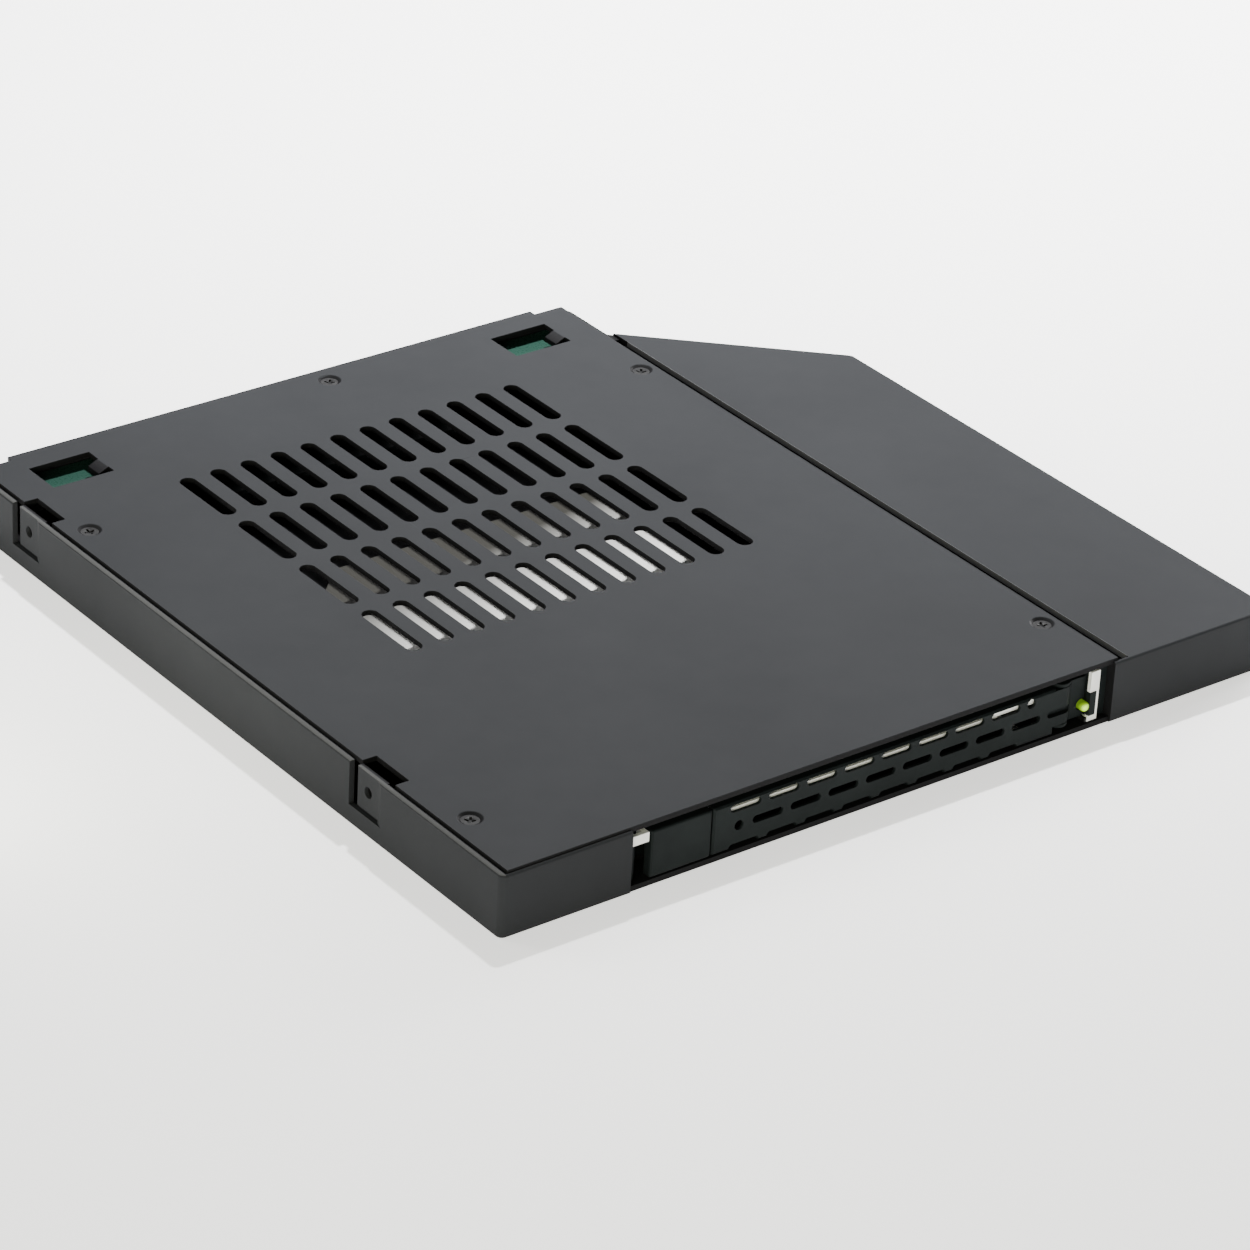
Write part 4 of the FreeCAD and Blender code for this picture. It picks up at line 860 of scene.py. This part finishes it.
def solder_joint():
    """A tin cone around a cut tail, standing on the place it is put."""
    tree, size, leave = new_tree("solder_joint", JOINT_SIZES)
    rings = [
        (size["Foot Radius"], 0.0),
        (calc(tree, "MULTIPLY", size["Foot Radius"], FLANK_RADIUS),
         calc(tree, "MULTIPLY", size["Height"], FLANK_HEIGHT)),
        (calc(tree, "MULTIPLY", size["Tail Radius"], NECK_RADIUS),
         calc(tree, "MULTIPLY", size["Height"], NECK_HEIGHT)),
        (size["Tail Radius"], size["Height"]),
    ]
    place_copies(tree, size, leave, smooth_by_angle(tree, turned(tree, rings), JOINT_EDGE))
    return tree


joint_tree = solder_joint()
board_low, board_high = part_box("backplane_board")
socket_row = board_low.y + SOCKET_ROW_INSET
host_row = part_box("host_connector")[0].y - HOST_ROW_INSET
joint_places = []
for node, row in (("socket_contacts", socket_row), ("host_contacts", host_row)):
    joint_places += [((a.x + b.x) / 2, row, board_high.z) for a, b in islands(node)]
grow("solder_joints", joint_tree, joint_places, JOINT, "plated_steel", "housing")

# %% [markdown]
# ## A dark block beside the lens
# A black block on the edge of the bright flange is painted shade: it stands for the shaded notch beside the
# lens.
# One cube, stretched to its corners, is all it needs.

# %% Notch shade block
NOTCH_SHADE_LEFT = 0.76 * MM
NOTCH_SHADE_RIGHT = 1.8 * MM
NOTCH_SHADE_FRONT = 0.08 * MM
NOTCH_SHADE_REAR = 0.85 * MM
NOTCH_SHADE_RISE = 2.0 * MM
NOTCH_SHADE_DROP = 1.5 * MM
notch_shade_low = lens_centre + Vector((NOTCH_SHADE_LEFT, NOTCH_SHADE_FRONT, -NOTCH_SHADE_DROP))
notch_shade_high = lens_centre + Vector((NOTCH_SHADE_RIGHT, NOTCH_SHADE_REAR, NOTCH_SHADE_RISE))
plate = bmesh.new()
bmesh.ops.create_cube(plate, size=1.0)
for vert in plate.verts:
    share = [value + 0.5 for value in vert.co]
    vert.co = [a + (b - a) * f for a, b, f in zip(notch_shade_low, notch_shade_high, share)]
notch_shade_mesh = bpy.data.meshes.new("notch_shade_block")
plate.to_mesh(notch_shade_mesh)
plate.free()
notch_shade = bpy.data.objects.new("notch_shade_block", notch_shade_mesh)
bpy.context.scene.collection.objects.link(notch_shade)
# The black block is painted shade for the notch beside the lens
notch_shade_mesh.materials.append(finishes["black_plastic"])
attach(notch_shade, "tray")
print("notch_shade", [round(v / MM, 2) for v in notch_shade_high - notch_shade_low])

# %% [markdown]
# ## Floor, light and camera
# The photograph is a plain product shot on white ground, taken with a long lens. The floor glows a
# little, so that it stays pale under weak lamps.
# One lamp is small: the key light above, behind and to the right, which throws the bright strips through
# the vents. It is aimed past the part, so that the cover fades from its back to its front.
# The others are soft: a low box on the right, a weak one overhead, a warm fill from the left, a small
# one close to the left wall, and a rim light from behind.

# %% Floor
FLOOR_SIZE = 4.0
FLOOR_LOOK = {"Base Color": (0.9, 0.9, 0.9, 1), "Roughness": 0.9,
              "Emission Color": (1.0, 0.99, 0.96, 1), "Emission Strength": 1.22}
half = FLOOR_SIZE / 2
floor_corners = [(-half, -half, 0), (half, -half, 0), (half, half, 0), (-half, half, 0)]
floor_mesh = bpy.data.meshes.new("floor")
floor_mesh.from_pydata(floor_corners, [], [(0, 1, 2, 3)])
floor = bpy.data.objects.new("floor", floor_mesh)
bpy.context.scene.collection.objects.link(floor)
floor_finish = bpy.data.materials.new("pale_floor")
floor_finish.use_nodes = True
floor_shader = floor_finish.node_tree.nodes["Principled BSDF"]
for socket, value in FLOOR_LOOK.items():
    floor_shader.inputs[socket].default_value = value
floor.data.materials.append(floor_finish)
print("floor", FLOOR_SIZE, "m")


# %% Lights
def softbox(name, place, target, size, power, colour=(1.0, 1.0, 1.0)):
    """A square area light that faces a point."""
    data = bpy.data.lights.new(name, "AREA")
    data.size = size
    data.energy = power
    data.color = colour
    lamp = bpy.data.objects.new(name, data)
    bpy.context.scene.collection.objects.link(lamp)
    lamp.location = place
    lamp.rotation_mode = "QUATERNION"
    lamp.rotation_quaternion = (Vector(target) - Vector(place)).to_track_quat("-Z", "Y")
    lamp.visible_camera = False


WARM = (1.0, 1.0, 0.78)
PALE_WARM = (1.0, 1.0, 0.8)
LIGHTS = {
    "key_light": dict(place=(0.102, 0.125, 0.35), target=(0.2, 0.3, 0), size=0.02, power=5.6),
    "right_softbox": dict(place=(0.4, 0.06, 0.12), target=(0.03, 0, 0), size=0.16, power=2.4),
    "overhead_softbox": dict(place=(0.26, 0.3, 0.2), target=(0.02, 0.03, 0), size=0.4, power=1.3),
    "left_fill": dict(place=(-0.52, -0.49, 0.2), target=(0, 0, 0), size=0.3, power=2.9, colour=WARM),
    "wall_fill": dict(place=(-0.115, 0.004, 0.025), target=(-0.064, 0.004, 0.005), size=0.02,
                      power=0.015, colour=PALE_WARM),
    "rear_rim": dict(place=(-0.36, 0.52, 0.41), target=(0, 0, 0), size=0.25, power=1.5),
}
WORLD_GLOW = 0.12
for name, values in LIGHTS.items():
    softbox(name, **values)
world = bpy.data.worlds.new("studio")
world.use_nodes = True
background = world.node_tree.nodes["Background"]
background.inputs["Color"].default_value = (1, 1, 1, 1)
background.inputs["Strength"].default_value = WORLD_GLOW
bpy.context.scene.world = world

# %% Camera
CAMERA_PLACE = Vector((-391.3, -498.05, 346.9)) * MM
CAMERA_AZIMUTH = math.radians(38.35)
CAMERA_ELEVATION = math.radians(29.01)
CAMERA_ROLL = math.radians(3.1)
CAMERA_LENS = 151.5
CAMERA_SENSOR = 36.0

camera_data = bpy.data.cameras.new("camera")
camera_data.lens = CAMERA_LENS
camera_data.sensor_width = CAMERA_SENSOR
camera = bpy.data.objects.new("camera", camera_data)
bpy.context.scene.collection.objects.link(camera)
turn = (Matrix.Rotation(-CAMERA_AZIMUTH, 4, "Z")
        @ Matrix.Rotation(math.radians(90) - CAMERA_ELEVATION, 4, "X")
        @ Matrix.Rotation(CAMERA_ROLL, 4, "Z"))
camera.matrix_world = Matrix.Translation(CAMERA_PLACE) @ turn
bpy.context.scene.camera = camera
print("camera lens", CAMERA_LENS, "mm")
